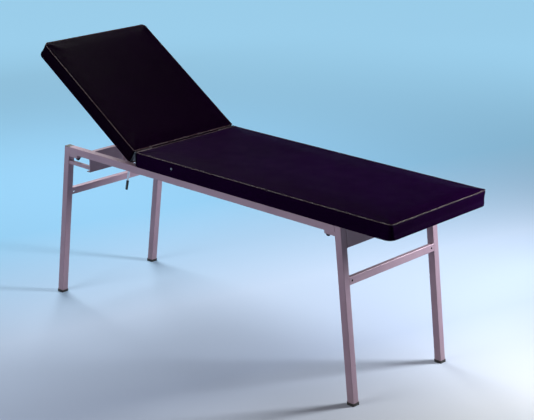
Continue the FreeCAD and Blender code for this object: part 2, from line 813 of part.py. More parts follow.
def drill_leaf(plate, under):
    """Three screw holes with room for flush heads on the side of the seam."""
    height = f"{under} + board_thickness / 2"
    centres = [(f"{step} * leaf_screw_pitch", height) for step in (-1, 0, 1)]
    cut_holes(plate, "YZ_Plane", "leaf_hole", centres, "through")
    head_end = "2 * (leaf_gap + leaf_screw_head_tall)"
    cut_holes(plate, "YZ_Plane", "leaf_screw_head + 2 * fit_gap", centres, head_end)


def add_welded_tab(plate, across):
    """The fixed leaf's lower tab, which stops short of the rail and lies on the hinge cross tube."""
    rail_end = f"{across} * (rail_inside_y - fit_gap - hinge_y)"
    inner_end = f"-{across} * leaf_width / 2"
    sketch = flat_sketch(plate, "YZ_Plane")
    outline = rectangle(rail_end, "seat_under - leaf_tab_drop", inner_end, "seat_under")
    draw_outline(sketch, outline)
    bind(sketch, "AttachmentOffset.Base.z", "leaf_gap + leaf_thickness / 2")
    extrude(plate, sketch, "Pad", "leaf_thickness")


def hinge_leaf(name, plate, knuckles):
    """The plate joined to its knuckles, each a middle and a length, and bored for the pin."""
    barrels = [cross_bar("knuckle_side", length, "0", middle, "0") for middle, length in knuckles]
    bore = cross_bar("hinge_pin + 2 * running_gap", "2 * leaf_width", "0", "0", "0")
    return labelled(without(joined([plate] + barrels), bore), name)


def make_hinges():
    outer_knuckles = [(f"{step} * knuckle_long", "knuckle_long") for step in (-1, 1)]
    middle_knuckle = [("0", "knuckle_long - 2 * knuckle_gap")]
    for side, across in SIDES:
        y = f"{across} * hinge_y"
        plate = leaf_plate(side, "seat", "1", "seat_under", True)
        add_welded_tab(plate, across)
        drill_leaf(plate, "seat_under")
        keep_at_hinge(hinge_leaf(f"seat_hinge_leaf_{side}", plate, outer_knuckles), y)
        plate = leaf_plate(side, "backrest", "-1", "back_under", False)
        drill_leaf(plate, "back_under")
        leaf = hinge_leaf(f"backrest_hinge_leaf_{side}", plate, middle_knuckle)
        keep_at_hinge(leaf, y, turn="back_angle")
        pin = cross_bar("hinge_pin", "leaf_width", "0", "0", "0")
        keep_at_hinge(group(f"hinge_pin_{side}", [pin]), y)


def make_leaf_screws():
    for section, toward, under, turn in (("seat", "1", "seat_under", "0"),
                                         ("backrest", "-1", "back_under", "back_angle")):
        screws = []
        for row in leaf_screw_rows():
            screws.append(screw(
                "leaf_screw", "leaf_screw_length", "leaf_screw_head", "leaf_screw_head_tall",
                f"{toward} * leaf_gap", row, f"{under} + board_thickness / 2", f"{toward} * 90"))
        keep_at_hinge(group(f"{section}_hinge_screws", screws), turn=turn)


# Backrest clamp

def on_arc(radius, angle):
    """X and Z of a point at this radius from the hinge, at this angle below the backrest."""
    return f"-({radius}) * cos({angle})", f"-({radius}) * sin({angle})"


def plate_disc(radius, x="0", z="0"):
    return cross_bar(f"2 * ({radius})", "clamp_plate", x, "0", z)


def ring_stretch(outer, inner, first, last):
    """The part of a flat ring round the hinge between two angles."""
    ring = without(plate_disc(outer), plate_disc(inner))
    far = f"2 * ({outer})"
    middle = f"(({first}) + ({last})) / 2"
    corners = [("0", "0"), on_arc(far, first), on_arc(far, middle), on_arc(far, last)]
    return overlap_of(ring, prism("wedge", corners, "clamp_plate"))


def quadrant_plate():
    """The slotted arm with its round end, and the web that carries it up to the flange."""
    end_x, end_z = on_arc("slot_radius", "slot_last")
    start_x, start_z = on_arc("slot_radius", "slot_first")
    arm = ring_stretch("arm_outer", "arm_inner", "web_angle", "slot_last")
    web_box = rectangle("flange_start", "-arm_outer", "web_x", "back_under")
    web = overlap_of(plate_disc("arm_outer"), prism("web_box", web_box, "clamp_plate"))
    blank = joined([arm, plate_disc("arm_half", end_x, end_z), web])
    slot_outer = "slot_radius + slot_half"
    slot_inner = "slot_radius - slot_half"
    slot = joined([
        ring_stretch(slot_outer, slot_inner, "slot_first", "slot_last"),
        plate_disc("slot_half", start_x, start_z),
        plate_disc("slot_half", end_x, end_z),
    ])
    return without(blank, slot)


def quadrant_flange(across):
    """The edge folded under the board, towards the middle of the table, with its screw holes."""
    outline = rectangle("flange_start", "back_under - clamp_plate", "web_x", "back_under")
    flange = prism("flange", outline, "flange_width")
    spots = [(x, "0") for x in FLANGE_SCREW_X]
    cut_holes(flange, "XY_Plane", "flange_hole", spots, "through")
    place(flange, y=f"-{across} * (flange_width - clamp_plate) / 2")
    return flange


FLANGE_SCREW_X = ("web_x - flange_screw_inset", "web_x - flange_screw_inset - flange_screw_pitch")


def flange_screw_spots():
    """X and Y of the quadrants' screws, in the backrest's own axes."""
    line = "(quadrant_y - (flange_width - clamp_plate) / 2)"
    return [(x, f"{across} * {line}") for _, across in SIDES for x in FLANGE_SCREW_X]


def make_quadrants():
    for side, across in SIDES:
        quadrant = joined([quadrant_plate(), quadrant_flange(across)])
        labelled(quadrant, f"quadrant_{side}")
        keep_at_hinge(quadrant, f"{across} * quadrant_y", turn="back_angle")


def make_quadrant_screws():
    screws = []
    for x, y in flange_screw_spots():
        screws.append(screw(
            "flange_screw", "clamp_plate + flange_screw_bite", "flange_screw_head",
            "flange_screw_head_tall", x, y, "back_under - clamp_plate - flange_screw_head_tall", "0"))
    keep_at_hinge(group("quadrant_screws", screws), turn="back_angle")


def keep_at_shaft(item, y="0", turn="0"):
    keep(item, x="hinge_x - clamp_reach", y=y, z="rail_top - tube_side / 2", turn=turn)


def make_clamp_brackets():
    for side, across in SIDES:
        outline = rectangle("-bracket_length / 2", "-bracket_tall / 2",
                            "bracket_length / 2", "bracket_tall / 2")
        bracket = prism(f"clamp_bracket_{side}", outline, "clamp_plate")
        cut_holes(bracket, "XZ_Plane", "shaft_bore", [("0", "0")], "through")
        keep_at_shaft(bracket, f"{across} * (rail_inside_y - clamp_plate / 2)")


def make_clamp_shaft():
    shaft = cross_bar("clamp_shaft", "inner_width - 2 * fit_gap", "0", "0", "0")
    keep_at_shaft(group("clamp_shaft", [shaft]))
    washers = []
    for _, across in SIDES:
        y = f"{across} * washer_y"
        disc = cross_bar("washer_side", "washer_thick", "0", y, "0")
        bore = cross_bar("shaft_bore", "2 * washer_thick", "0", y, "0")
        washers.append(without(disc, bore))
    keep_at_shaft(group("clamp_washers", washers))


def make_lock_nut():
    half = "lock_nut / 2"
    corner = "lock_nut / sqrt(3)"
    flats = [
        (f"-({corner}) / 2", f"-({half})"),
        (f"({corner}) / 2", f"-({half})"),
        (corner, "0"),
        (f"({corner}) / 2", half),
        (f"-({corner}) / 2", half),
        (f"-({corner})", "0"),
    ]
    nut = prism("clamp_lock_nut", flats, "lock_nut_thick")
    cut_holes(nut, "XZ_Plane", "shaft_bore", [("0", "0")], "through")
    keep_at_shaft(nut, "lock_nut_y")


def make_lever():
    """The lever in its own axes hangs straight down; its lean turns it towards the head."""
    rod_end = "-(lever_reach - grip_end)"
    rod_length = "lever_reach - grip_end - lever_hub / 2 + lever_socket"
    blank = cross_bar("lever_hub", "lever_hub_length", "0", "0", "0")
    bore = cross_bar("shaft_bore", "2 * lever_hub_length", "0", "0", "0")
    socket = cylinder("lever_rod + 2 * running_gap", rod_length, "0", "0", rod_end)
    hub = labelled(without(without(blank, bore), socket), "lever_hub")
    keep_at_shaft(hub, "-hub_y", turn="lever_lean")
    rod = cylinder("lever_rod", rod_length, "0", "0", rod_end)
    keep_at_shaft(group("lever_rod", [rod]), "-hub_y", turn="lever_lean")
    outer = cylinder("lever_grip", "lever_grip_length", "0", "0", "-lever_reach")
    bore = cylinder("lever_rod + 2 * running_gap", "lever_grip_length", "0", "0", rod_end)
    keep_at_shaft(labelled(without(outer, bore), "lever_grip"), "-hub_y", turn="lever_lean")


# Checking and writing

def check_document():
    for item in doc.Objects:
        if "Invalid" in item.State or "Error" in item.State:
            raise RuntimeError(f"{item.Label} failed: {item.State}")
    for item in parts:
        shape = item.Shape
        if shape.isNull() or not shape.isValid() or not shape.Solids:
            raise RuntimeError(f"{item.Label} has no valid solid")


def write_parts():
    os.makedirs("parts", exist_ok=True)
    for item in parts:
        item.Shape.exportStep(f"parts/{item.Label}.step")
        print(f"{item.Label}: {len(item.Shape.Solids)} solids, {item.Shape.Volume:.1f} cubic mm")


fill_sheet()
make_rails()
make_legs()
make_leg_plugs()
make_feet()
make_cross_tubes()
make_board_screws()
make_foot_apron()
make_head_apron()
make_head_struts()
make_corner_tabs()
make_corner_bolts()
make_braces()
make_brace_spigots()
make_brace_screws()
make_seat()
make_vents()
make_backrest()
make_hinges()
make_leaf_screws()
make_quadrants()
make_quadrant_screws()
make_clamp_brackets()
make_clamp_shaft()
make_lock_nut()
make_lever()
doc.recompute()
check_document()
write_parts()
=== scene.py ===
# %% [markdown]
# # An examination table with a raised backrest
# The table has a frame of square steel tube, two padded sections covered in dark vinyl, and a
# clamp with a hanging lever that holds the backrest. The solid model gives every piece its place
# in metres. Blender adds what a solid model leaves out: how foam fills its cover, how piping
# catches the light, and what paint, zinc and rubber look like.

# %% Load the solid model
import math

import bmesh
import bpy
import numpy as np
from mathutils import Matrix, Vector, noise
from mathutils.kdtree import KDTree


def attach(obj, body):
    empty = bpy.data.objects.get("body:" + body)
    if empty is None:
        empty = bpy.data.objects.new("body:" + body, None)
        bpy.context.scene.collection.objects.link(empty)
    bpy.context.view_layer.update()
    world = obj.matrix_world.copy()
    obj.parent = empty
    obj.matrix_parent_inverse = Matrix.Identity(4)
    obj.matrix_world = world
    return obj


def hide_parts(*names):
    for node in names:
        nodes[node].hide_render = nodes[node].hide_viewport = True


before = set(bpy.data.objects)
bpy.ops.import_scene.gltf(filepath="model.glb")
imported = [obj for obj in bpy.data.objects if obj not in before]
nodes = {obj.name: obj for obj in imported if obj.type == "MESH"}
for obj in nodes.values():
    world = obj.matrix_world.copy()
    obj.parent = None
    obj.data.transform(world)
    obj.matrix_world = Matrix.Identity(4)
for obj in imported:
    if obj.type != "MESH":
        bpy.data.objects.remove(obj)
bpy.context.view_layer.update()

scene = bpy.context.scene

# %% [markdown]
# ## The camera
# A camera is a place, an aim and a lens. These values come from fitting the table's straight
# edges, so the view has the same perspective as the picture that the table was rebuilt from.
# The picture is turned by a third of a degree, which becomes a roll about the camera's own axis.

# %% Place the camera
EYE = Vector((3.8996, -4.1116, 2.3845))
AIM = Vector((0.0885, 0.0099, 0.5214))
ROLL = math.radians(0.359)
SENSOR_WIDTH = 36.0
LENS = 101.05


def new_object(name, data):
    made = bpy.data.objects.new(name, data)
    scene.collection.objects.link(made)
    return made


camera = new_object("camera", bpy.data.cameras.new("camera"))
facing = (AIM - EYE).to_track_quat("-Z", "Y").to_matrix().to_4x4()
camera.matrix_world = Matrix.Translation(EYE) @ facing @ Matrix.Rotation(ROLL, 4, "Z")
camera.data.sensor_width = SENSOR_WIDTH
camera.data.lens = LENS
camera.data.clip_end = 60.0
scene.camera = camera
print("camera to aim:", round((EYE - AIM).length, 3), "m")

# %% [markdown]
# ## Small helpers for materials
# A material is a tree of nodes, and most of its lines add a node and feed its inputs. A few
# helpers keep that short. One of them starts a node group, whose inputs have names and starting
# values, so that one effect can serve several finishes.

# %% Helpers for node trees
FLOAT, WHOLE = "NodeSocketFloat", "NodeSocketInt"
GEOMETRY, MATERIAL = "NodeSocketGeometry", "NodeSocketMaterial"
SHADER, GROWTH = ("ShaderNodeTree", FLOAT), ("GeometryNodeTree", GEOMETRY)


def feed(tree, node, values):
    """Links each input to a socket, or sets it to a value."""
    for name, given in values.items():
        if isinstance(given, bpy.types.NodeSocket):
            tree.links.new(given, node.inputs[name])
        else:
            node.inputs[name].default_value = given


def add(tree, kind, values=None, **settings):
    node = tree.nodes.new(kind)
    for name, setting in settings.items():
        setattr(node, name, setting)
    feed(tree, node, values or {})
    return node


def start_group(name, kind, inputs):
    """Kind is the type of the tree and of its output. An input is given by its starting number,
    or by its type if it has none."""
    tree = bpy.data.node_groups.new(name, kind[0])
    for label, given in inputs.items():
        typed = {float: FLOAT, int: WHOLE}.get(type(given), given)
        socket = tree.interface.new_socket(label, in_out="INPUT", socket_type=typed)
        if typed != given:
            socket.default_value = given
    tree.interface.new_socket("Result", in_out="OUTPUT", socket_type=kind[1])
    return tree, tree.nodes.new("NodeGroupInput").outputs, tree.nodes.new("NodeGroupOutput")


def math_node(tree, operation, first, second=0.0, clamp=False):
    return add(tree, "ShaderNodeMath", {0: first, 1: second}, operation=operation,
               use_clamp=clamp).outputs[0]


def times(tree, first, second, clamp=False):
    return math_node(tree, "MULTIPLY", first, second, clamp)


def plus(tree, first, second):
    return math_node(tree, "ADD", first, second)


def vector_math(tree, operation, first, second=(0.0, 0.0, 0.0)):
    node = add(tree, "ShaderNodeVectorMath", {0: first, 1: second}, operation=operation)
    return node.outputs["Vector" if operation in ("ADD", "MULTIPLY") else "Value"]


def remap(tree, value, start, end, low=0.0, high=1.0, eased=False):
    """Maps start..end to low..high, and holds the value beyond both ends."""
    return add(tree, "ShaderNodeMapRange", {
        "Value": value, "From Min": start, "From Max": end, "To Min": low, "To Max": high},
        interpolation_type="SMOOTHSTEP" if eased else "LINEAR").outputs[0]


def clouds(tree, place, scale, detail, roughness=0.5):
    return add(tree, "ShaderNodeTexNoise", {"Vector": place, "Scale": scale, "Detail": detail,
                                            "Roughness": roughness}).outputs["Fac"]


def own_place(tree):
    """The shaded point's place in its object, in metres."""
    return add(tree, "ShaderNodeTexCoord").outputs["Object"]


def z_of(tree, vector):
    return add(tree, "ShaderNodeSeparateXYZ", {0: vector}).outputs["Z"]


def ramp(tree, value, stops):
    """A colour ramp with (position, grey) or (position, colour) stops."""
    node = add(tree, "ShaderNodeValToRGB", {0: value})
    marks = node.color_ramp.elements
    while len(marks) < len(stops):
        marks.new(0.5)
    for mark, (place, colour) in zip(marks, stops):
        mark.position = place
        mark.color = (*colour, 1.0) if isinstance(colour, tuple) else (colour,) * 3 + (1.0,)
    return node.outputs[0]

# %% [markdown]
# ## Effects that several finishes share
# *Edge wear* compares the true normal with one that is rounded near edges. Where they differ
# there is an edge, and noise breaks the result up. *Cloudy* is slow noise for uneven tone.
# *Pebble grain* is the pressed grain of vinyl: cells of a Voronoi texture whose borders are
# valleys. *Settled dust* lies on what faces up, and more of it lies near the floor.

# %% Shared shader groups
def make_edge_wear():
    tree, given, out = start_group("edge wear", SHADER, {"Width": 0.0015, "Amount": 0.5,
                                                         "Break Up": 180.0})
    rounded = add(tree, "ShaderNodeBevel", {"Radius": given["Width"]}, samples=4)
    true = add(tree, "ShaderNodeNewGeometry")
    same = vector_math(tree, "DOT_PRODUCT", rounded.outputs[0], true.outputs["Normal"])
    edge = times(tree, math_node(tree, "SUBTRACT", 1.0, same), 7.0, clamp=True)
    chips = clouds(tree, own_place(tree), given["Break Up"], 4.0, 0.65)
    broken = ramp(tree, chips, [(0.42, 0.0), (0.62, 1.0)])
    mask = times(tree, times(tree, edge, broken), given["Amount"], clamp=True)
    tree.links.new(mask, out.inputs[0])
    return tree


def make_cloudy():
    tree, given, out = start_group("cloudy", SHADER, {"Scale": 6.0, "Low": 0.0, "High": 1.0})
    slow = clouds(tree, own_place(tree), given["Scale"], 3.0, 0.55)
    tree.links.new(remap(tree, slow, 0.3, 0.7, given["Low"], given["High"]), out.inputs[0])
    return tree


def make_pebble_grain():
    tree, given, out = start_group("pebble grain", SHADER, {"Scale": 700.0, "Softness": 0.25})
    place = own_place(tree)
    swirl = add(tree, "ShaderNodeTexNoise", {"Vector": place, "Scale": 240.0, "Detail": 1.0})
    bent = vector_math(tree, "MULTIPLY", swirl.outputs["Color"], (0.0016,) * 3)
    cells = add(tree, "ShaderNodeTexVoronoi", {"Vector": vector_math(tree, "ADD", place, bent),
                                               "Scale": given["Scale"]},
                feature="DISTANCE_TO_EDGE")
    pebbles = remap(tree, cells.outputs["Distance"], 0.0, given["Softness"], eased=True)
    tree.links.new(pebbles, out.inputs[0])
    return tree


def make_settled_dust():
    tree, given, out = start_group("settled dust", SHADER, {"Amount": 0.25, "Near Floor": 0.3})
    facing_up = z_of(tree, add(tree, "ShaderNodeNewGeometry").outputs["Normal"])
    place = own_place(tree)
    low = remap(tree, z_of(tree, place), 0.12, 0.0, high=given["Near Floor"])
    patchy = ramp(tree, clouds(tree, place, 90.0, 6.0, 0.7), [(0.4, 0.15), (0.66, 1.0)])
    up = times(tree, math_node(tree, "MAXIMUM", facing_up, 0.0), given["Amount"])
    both = times(tree, plus(tree, up, low), patchy)
    tree.links.new(math_node(tree, "MINIMUM", both, 1.0), out.inputs[0])
    return tree


edge_wear, cloudy = make_edge_wear(), make_cloudy()
pebble_grain, settled_dust = make_pebble_grain(), make_settled_dust()
print("shader groups:", edge_wear.name, cloudy.name, pebble_grain.name, settled_dust.name)

# %% Helpers for a finish
def new_material(name):
    material = bpy.data.materials.new(name)
    material.use_nodes = True
    tree = material.node_tree
    return material, tree, tree.nodes["Principled BSDF"]


def effect(tree, group, **values):
    spaced = {name.replace("_", " "): value for name, value in values.items()}
    return add(tree, "ShaderNodeGroup", spaced, node_tree=group).outputs[0]


def blend_colour(tree, amount, first, second):
    first, second = ((*colour, 1.0) if isinstance(colour, tuple) else colour
                     for colour in (first, second))
    return add(tree, "ShaderNodeMix", {"Factor": amount, 6: first, 7: second},
               data_type="RGBA").outputs[2]


def bump(tree, height, strength, distance):
    return add(tree, "ShaderNodeBump", {"Height": height, "Strength": strength,
                                        "Distance": distance}).outputs[0]

# %% [markdown]
# ## Vinyl
# The cover is a dark violet-navy sheet with a fine pressed grain. The picture shows almost no
# gloss on it, so its specular level is far lower than vinyl usually has. What the eye reads is
# the grain, whose valleys are darker, and slow clouds of tone and roughness. The raised section
# lies in shade and looks nearly black in the picture, so its cover is the same vinyl in a darker
# mix, which is painted shade. Piping is glossier, and its paler colour is a painted highlight
# for the glint along its cord.

# %% The vinyl cover and its piping
VINYL = {"grain": 800.0, "rough": 0.38, "gloss": 0.004}
GROOVE_SHADE = 0.3


def make_vinyl(name, dark, light, grain, rough, gloss):
    material, tree, shader = new_material(name)
    tone = effect(tree, cloudy, Scale=3.5)
    wear = effect(tree, cloudy, Scale=11.0)
    pebbles = effect(tree, pebble_grain, Scale=grain)
    colour = blend_colour(tree, tone, dark, light)
    mottle = effect(tree, cloudy, Scale=85.0, Low=0.55, High=1.0)
    shade = blend_colour(tree, times(tree, pebbles, mottle),
                         tuple(GROOVE_SHADE * part for part in dark), colour)
    dust = effect(tree, settled_dust, Amount=0.006, Near_Floor=0.0)
    feed(tree, shader, {
        "Base Color": blend_colour(tree, dust, shade, (0.10, 0.06, 0.11)),
        "Roughness": remap(tree, wear, 0.0, 1.0, rough - 0.07, rough + 0.07),
        "Normal": bump(tree, pebbles, 0.5, 0.0005), "Specular IOR Level": gloss})
    return material


vinyl = make_vinyl("vinyl", (0.0118, 0.0005, 0.0250), (0.0190, 0.0009, 0.0420), **VINYL)
# The raised section's cover is the same vinyl made darker, as painted shade: that section faces
# away from the key lamp.
back_vinyl_painted_shade = make_vinyl("backrest_vinyl_painted_shade", (0.0058, 0.0006, 0.0088), (0.0088, 0.0009, 0.0135),
                        **VINYL)
# The piping's gloss is real; its paler colour is a painted highlight for the glint along the
# cord.
piping_vinyl_painted_highlight = make_vinyl("piping_vinyl_painted_highlight", (0.062, 0.024, 0.030), (0.105, 0.045, 0.054),
                          grain=1100.0, rough=0.28, gloss=0.35)
print("covers:", vinyl.name, back_vinyl_painted_shade.name, piping_vinyl_painted_highlight.name)

# %% [markdown]
# ## Painted steel
# The tubes have a mauve silver-grey paint with a little metal in it. Sprayed paint dries with a
# fine orange-peel surface. It rubs thin along edges, where it looks brighter, and gathers dust
# low down. All of that is small, because the table is clean and hardly used.

# %% The paint of the frame
def make_paint():
    material, tree, shader = new_material("tube_paint")
    place = own_place(tree)
    tone = effect(tree, cloudy, Scale=7.0)
    base = blend_colour(tree, tone, (0.365, 0.255, 0.335), (0.425, 0.305, 0.390))
    flakes = add(tree, "ShaderNodeTexVoronoi", {"Vector": place, "Scale": 1800.0})
    spark = ramp(tree, flakes.outputs["Distance"], [(0.05, 1.0), (0.35, 0.0)])
    base = blend_colour(tree, times(tree, spark, 0.25), base, (0.54, 0.44, 0.50))
    wear = effect(tree, edge_wear, Width=0.0016, Amount=0.55)
    base = blend_colour(tree, wear, base, (0.62, 0.56, 0.60))
    dust = effect(tree, settled_dust, Amount=0.12, Near_Floor=0.35)
    base = blend_colour(tree, dust, base, (0.34, 0.31, 0.30))
    peel = clouds(tree, place, 420.0, 1.0)
    rough = remap(tree, effect(tree, cloudy, Scale=26.0), 0.0, 1.0, 0.34, 0.46)
    feed(tree, shader, {
        "Base Color": base, "Roughness": plus(tree, rough, times(tree, dust, 0.3)),
        "Metallic": remap(tree, wear, 0.0, 1.0, 0.16, 0.7),
        "Normal": bump(tree, peel, 0.12, 0.0004), "Specular IOR Level": 0.3})
    return material


paint = make_paint()

# %% [markdown]
# ## Bare metal, rubber and wood
# Zinc has a mottled bloom. Hinge leaves, spigots and corner bolts are blackened. The clamp's
# shaft and lever are bright, with fine lines from polishing. Rubber feet are matt and pick up
# pale dust. The boards inside the pads are plywood, whose face is peeled from a log, so its
# grain runs in long flat waves.

# %% Metals
def make_metal(name, dull, light, low_rough, high_rough, bloom, lines,
               worn=(0.82, 0.82, 0.84)):
    material, tree, shader = new_material(name)
    place = own_place(tree)
    patches = add(tree, "ShaderNodeTexVoronoi", {"Vector": place, "Scale": bloom},
                  feature="SMOOTH_F1")
    stretched = add(tree, "ShaderNodeMapping", {"Vector": place, "Scale": (lines, lines, 90.0)})
    fine = clouds(tree, stretched.outputs[0], 1.0, 3.0)
    mixed = times(tree, plus(tree, patches.outputs["Distance"], fine), 0.6, clamp=True)
    wear = effect(tree, edge_wear, Width=0.0007, Amount=0.6, Break_Up=400.0)
    base = blend_colour(tree, mixed, dull, light)
    feed(tree, shader, {
        "Base Color": blend_colour(tree, wear, base, worn), "Metallic": 1.0,
        "Roughness": remap(tree, mixed, 0.0, 1.0, high_rough, low_rough),
        "Normal": bump(tree, fine, 0.05, 0.0003)})
    return material


zinc = make_metal("zinc_plate", (0.20, 0.19, 0.21), (0.34, 0.33, 0.36), 0.36, 0.52, 260.0, 300.0)
dark = make_metal("blackened_steel_and_painted_shade", (0.012, 0.009, 0.012), (0.050, 0.042, 0.048), 0.26, 0.40,
                  260.0, 300.0, worn=(0.16, 0.15, 0.16))
bright = make_metal("polished_steel", (0.62, 0.62, 0.65), (0.80, 0.80, 0.83), 0.12, 0.26,
                    60.0, 2200.0)
print("metals:", zinc.name, dark.name, bright.name)

# %% Rubber and plastic
SCUFF_GAIN = 2.2


def make_rubber(name, deep, pale, rough, dusty):
    material, tree, shader = new_material(name)
    tone = effect(tree, cloudy, Scale=40.0)
    dust = effect(tree, settled_dust, Amount=dusty, Near_Floor=dusty)
    base = blend_colour(tree, tone, deep, pale)
    scuffs = effect(tree, edge_wear, Width=0.0014, Amount=0.5, Break_Up=260.0)
    base = blend_colour(tree, scuffs, base, tuple(SCUFF_GAIN * part for part in pale))
    pores = clouds(tree, own_place(tree), 900.0, 2.0)
    feed(tree, shader, {
        "Base Color": blend_colour(tree, dust, base, (0.25, 0.24, 0.23)),
        "Roughness": remap(tree, tone, 0.0, 1.0, rough - 0.08, rough + 0.08),
        "Normal": bump(tree, pores, 0.2, 0.0003)})
    return material


rubber = make_rubber("moulded_rubber", (0.010, 0.010, 0.011), (0.022, 0.021, 0.022), 0.66, 0.10)
plastic = make_rubber("moulded_plastic", (0.030, 0.027, 0.030), (0.050, 0.046, 0.050), 0.42, 0.10)
print("moulded:", rubber.name, plastic.name)

# %% Plywood
BACK_TURN = math.radians(33.3)


def make_plywood(name, lean):
    """Lean is the board's turn about the y axis, so that the grain runs along the board."""
    material, tree, shader = new_material(name)
    place = add(tree, "ShaderNodeMapping", {"Vector": own_place(tree),
                                            "Rotation": (0.0, -lean, 0.0)}).outputs[0]
    long_ways = add(tree, "ShaderNodeMapping", {"Vector": place, "Scale": (0.9, 6.0, 6.0)})
    waves = add(tree, "ShaderNodeTexNoise", {"Vector": long_ways.outputs[0], "Scale": 1.6,
                                             "Detail": 4.0, "Distortion": 1.1})
    rings = math_node(tree, "FRACT", times(tree, waves.outputs["Fac"], 13.0))
    band = ramp(tree, rings, [(0.0, (0.30, 0.165, 0.075)), (0.35, (0.52, 0.345, 0.185)),
                              (0.85, (0.60, 0.42, 0.24)), (1.0, (0.27, 0.14, 0.06))])
    pores = add(tree, "ShaderNodeMapping", {"Vector": place, "Scale": (60.0, 1500.0, 1500.0)})
    pore = clouds(tree, pores.outputs[0], 1.0, 2.0)
    streaks = ramp(tree, pore, [(0.3, 0.55), (0.5, 1.0)])
    base = add(tree, "ShaderNodeMix", {"Factor": 0.6, 6: band, 7: streaks}, data_type="RGBA",
               blend_type="MULTIPLY").outputs[2]
    feed(tree, shader, {"Base Color": base, "Normal": bump(tree, pore, 0.2, 0.0004),
                        "Roughness": remap(tree, rings, 0.0, 1.0, 0.55, 0.68)})
    return material


plywood = make_plywood("board_face", 0.0)
raised_plywood = make_plywood("raised_board_face", BACK_TURN)

# %% [markdown]
# ## Dressing the solid model's own pieces
# A piece whose shape is right keeps its mesh and only gets a finish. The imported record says
# which finish slot each node has, so one dictionary dresses them all. A second one names the
# pieces whose finish differs from the rest of their slot.

# %% Finishes on the solid model's pieces
FINISHES = {"frame_paint": paint, "upholstery": vinyl, "plywood": plywood, "rubber": rubber,
            "plug_plastic": plastic, "bright_steel": bright, "zinc_steel": zinc}
for node in nodes.values():
    for place, old in enumerate(node.data.materials):
        node.data.materials[place] = FINISHES[old.name]
OWN_FINISHES = {name: dark for name in nodes if "hinge_leaf" in name or "spigots" in name}
OWN_FINISHES |= {"seat_vents": zinc, "corner_bolts": dark, "backrest_board": raised_plywood}
for name, finish in OWN_FINISHES.items():
    for place in range(len(nodes[name].data.materials)):
        nodes[name].data.materials[place] = finish
print("finishes:", {name: made.name for name, made in FINISHES.items()})

# %% [markdown]
# ## The padded sections
# Each section is a plywood board with foam on it, inside a boxed cover: a top panel, a side band
# and piping sewn between them. A plain rounded box would look like plastic. A closed mesh of
# even quads is made first, with a recess for the board. Blender's Cloth then blows it up a
# little, as foam does to a tight cover.

# %% Sizes of the padded sections
HINGE = Vector((-0.3570812, 0.0, 0.7275))
SEAM_HALF = 0.0025
PAD_WIDTH = 0.570
TOP_ABOVE_HINGE = 0.0045
SEAT_LENGTH, SEAT_UNDER = 1.2925, -0.0575
BACK_LENGTH, BACK_UNDER = 0.655, -0.057
BOARD, RIM, CLEAR = 0.015, 0.0030, 0.0003
OUTER_CORNER, SEAM_CORNER = 0.030, 0.013
EDGE_ROUND, EDGE_TURNS = 0.008, (22.5, 45.0, 67.5, 90.0)
CELL, CORNER_LINES, WALL_ROWS = 0.012, 6, 7
print("hinge at", tuple(round(part, 4) for part in HINGE))

# %% Outline and profile of a boxed cushion
def round_corners(x, y, half, wide, radii):
    """Moves a point of a rectangle into the same rectangle with rounded corners."""
    radius = radii[0] if x < 0 else radii[1]
    across, along = abs(x) - (half - radius), abs(y) - (wide - radius)
    if across <= 0 or along <= 0 or radius <= 0:
        return x, y
    u, v = across / radius, along / radius
    rounded_x = half - radius + radius * u * math.sqrt(1 - v * v / 2)
    rounded_y = wide - radius + radius * v * math.sqrt(1 - u * u / 2)
    return math.copysign(rounded_x, x), math.copysign(rounded_y, y)


def grid_lines(half, corners, cell):
    """Places along one side: a few lines in each corner's rounding and even ones between."""
    low, high = -half + corners[0], half - corners[1]
    count = max(2, round((high - low) / cell))
    start = np.linspace(-half, low, CORNER_LINES, endpoint=False)
    end = np.linspace(half, high, CORNER_LINES, endpoint=False)[::-1]
    return np.concatenate([start, np.linspace(low, high, count + 1), end])


def side_rows(under, top):
    """Rows of (inset, height) from the recess for the board, round the cover's lower lip, up
    the band and over the rounded edge. Also says which row the seam follows."""
    rows = [(RIM + CLEAR, under + BOARD + CLEAR), (RIM + CLEAR, under + BOARD / 2),
            (RIM + CLEAR, under + 0.001), (RIM - 0.0006, under), (0.0016, under),
            (0.0004, under + 0.0012), (0.0, under + 0.004)]
    wall = np.linspace(under + 0.004, top - EDGE_ROUND, WALL_ROWS + 1)[1:]
    rows += [(0.0, height) for height in wall]
    seam_row = len(rows) + EDGE_TURNS.index(45.0)
    for angle in EDGE_TURNS:
        turn = math.radians(angle)
        rows.append((EDGE_ROUND * (1 - math.cos(turn)), top - EDGE_ROUND * (1 - math.sin(turn))))
    return rows + [(EDGE_ROUND + 0.004, top)], seam_row


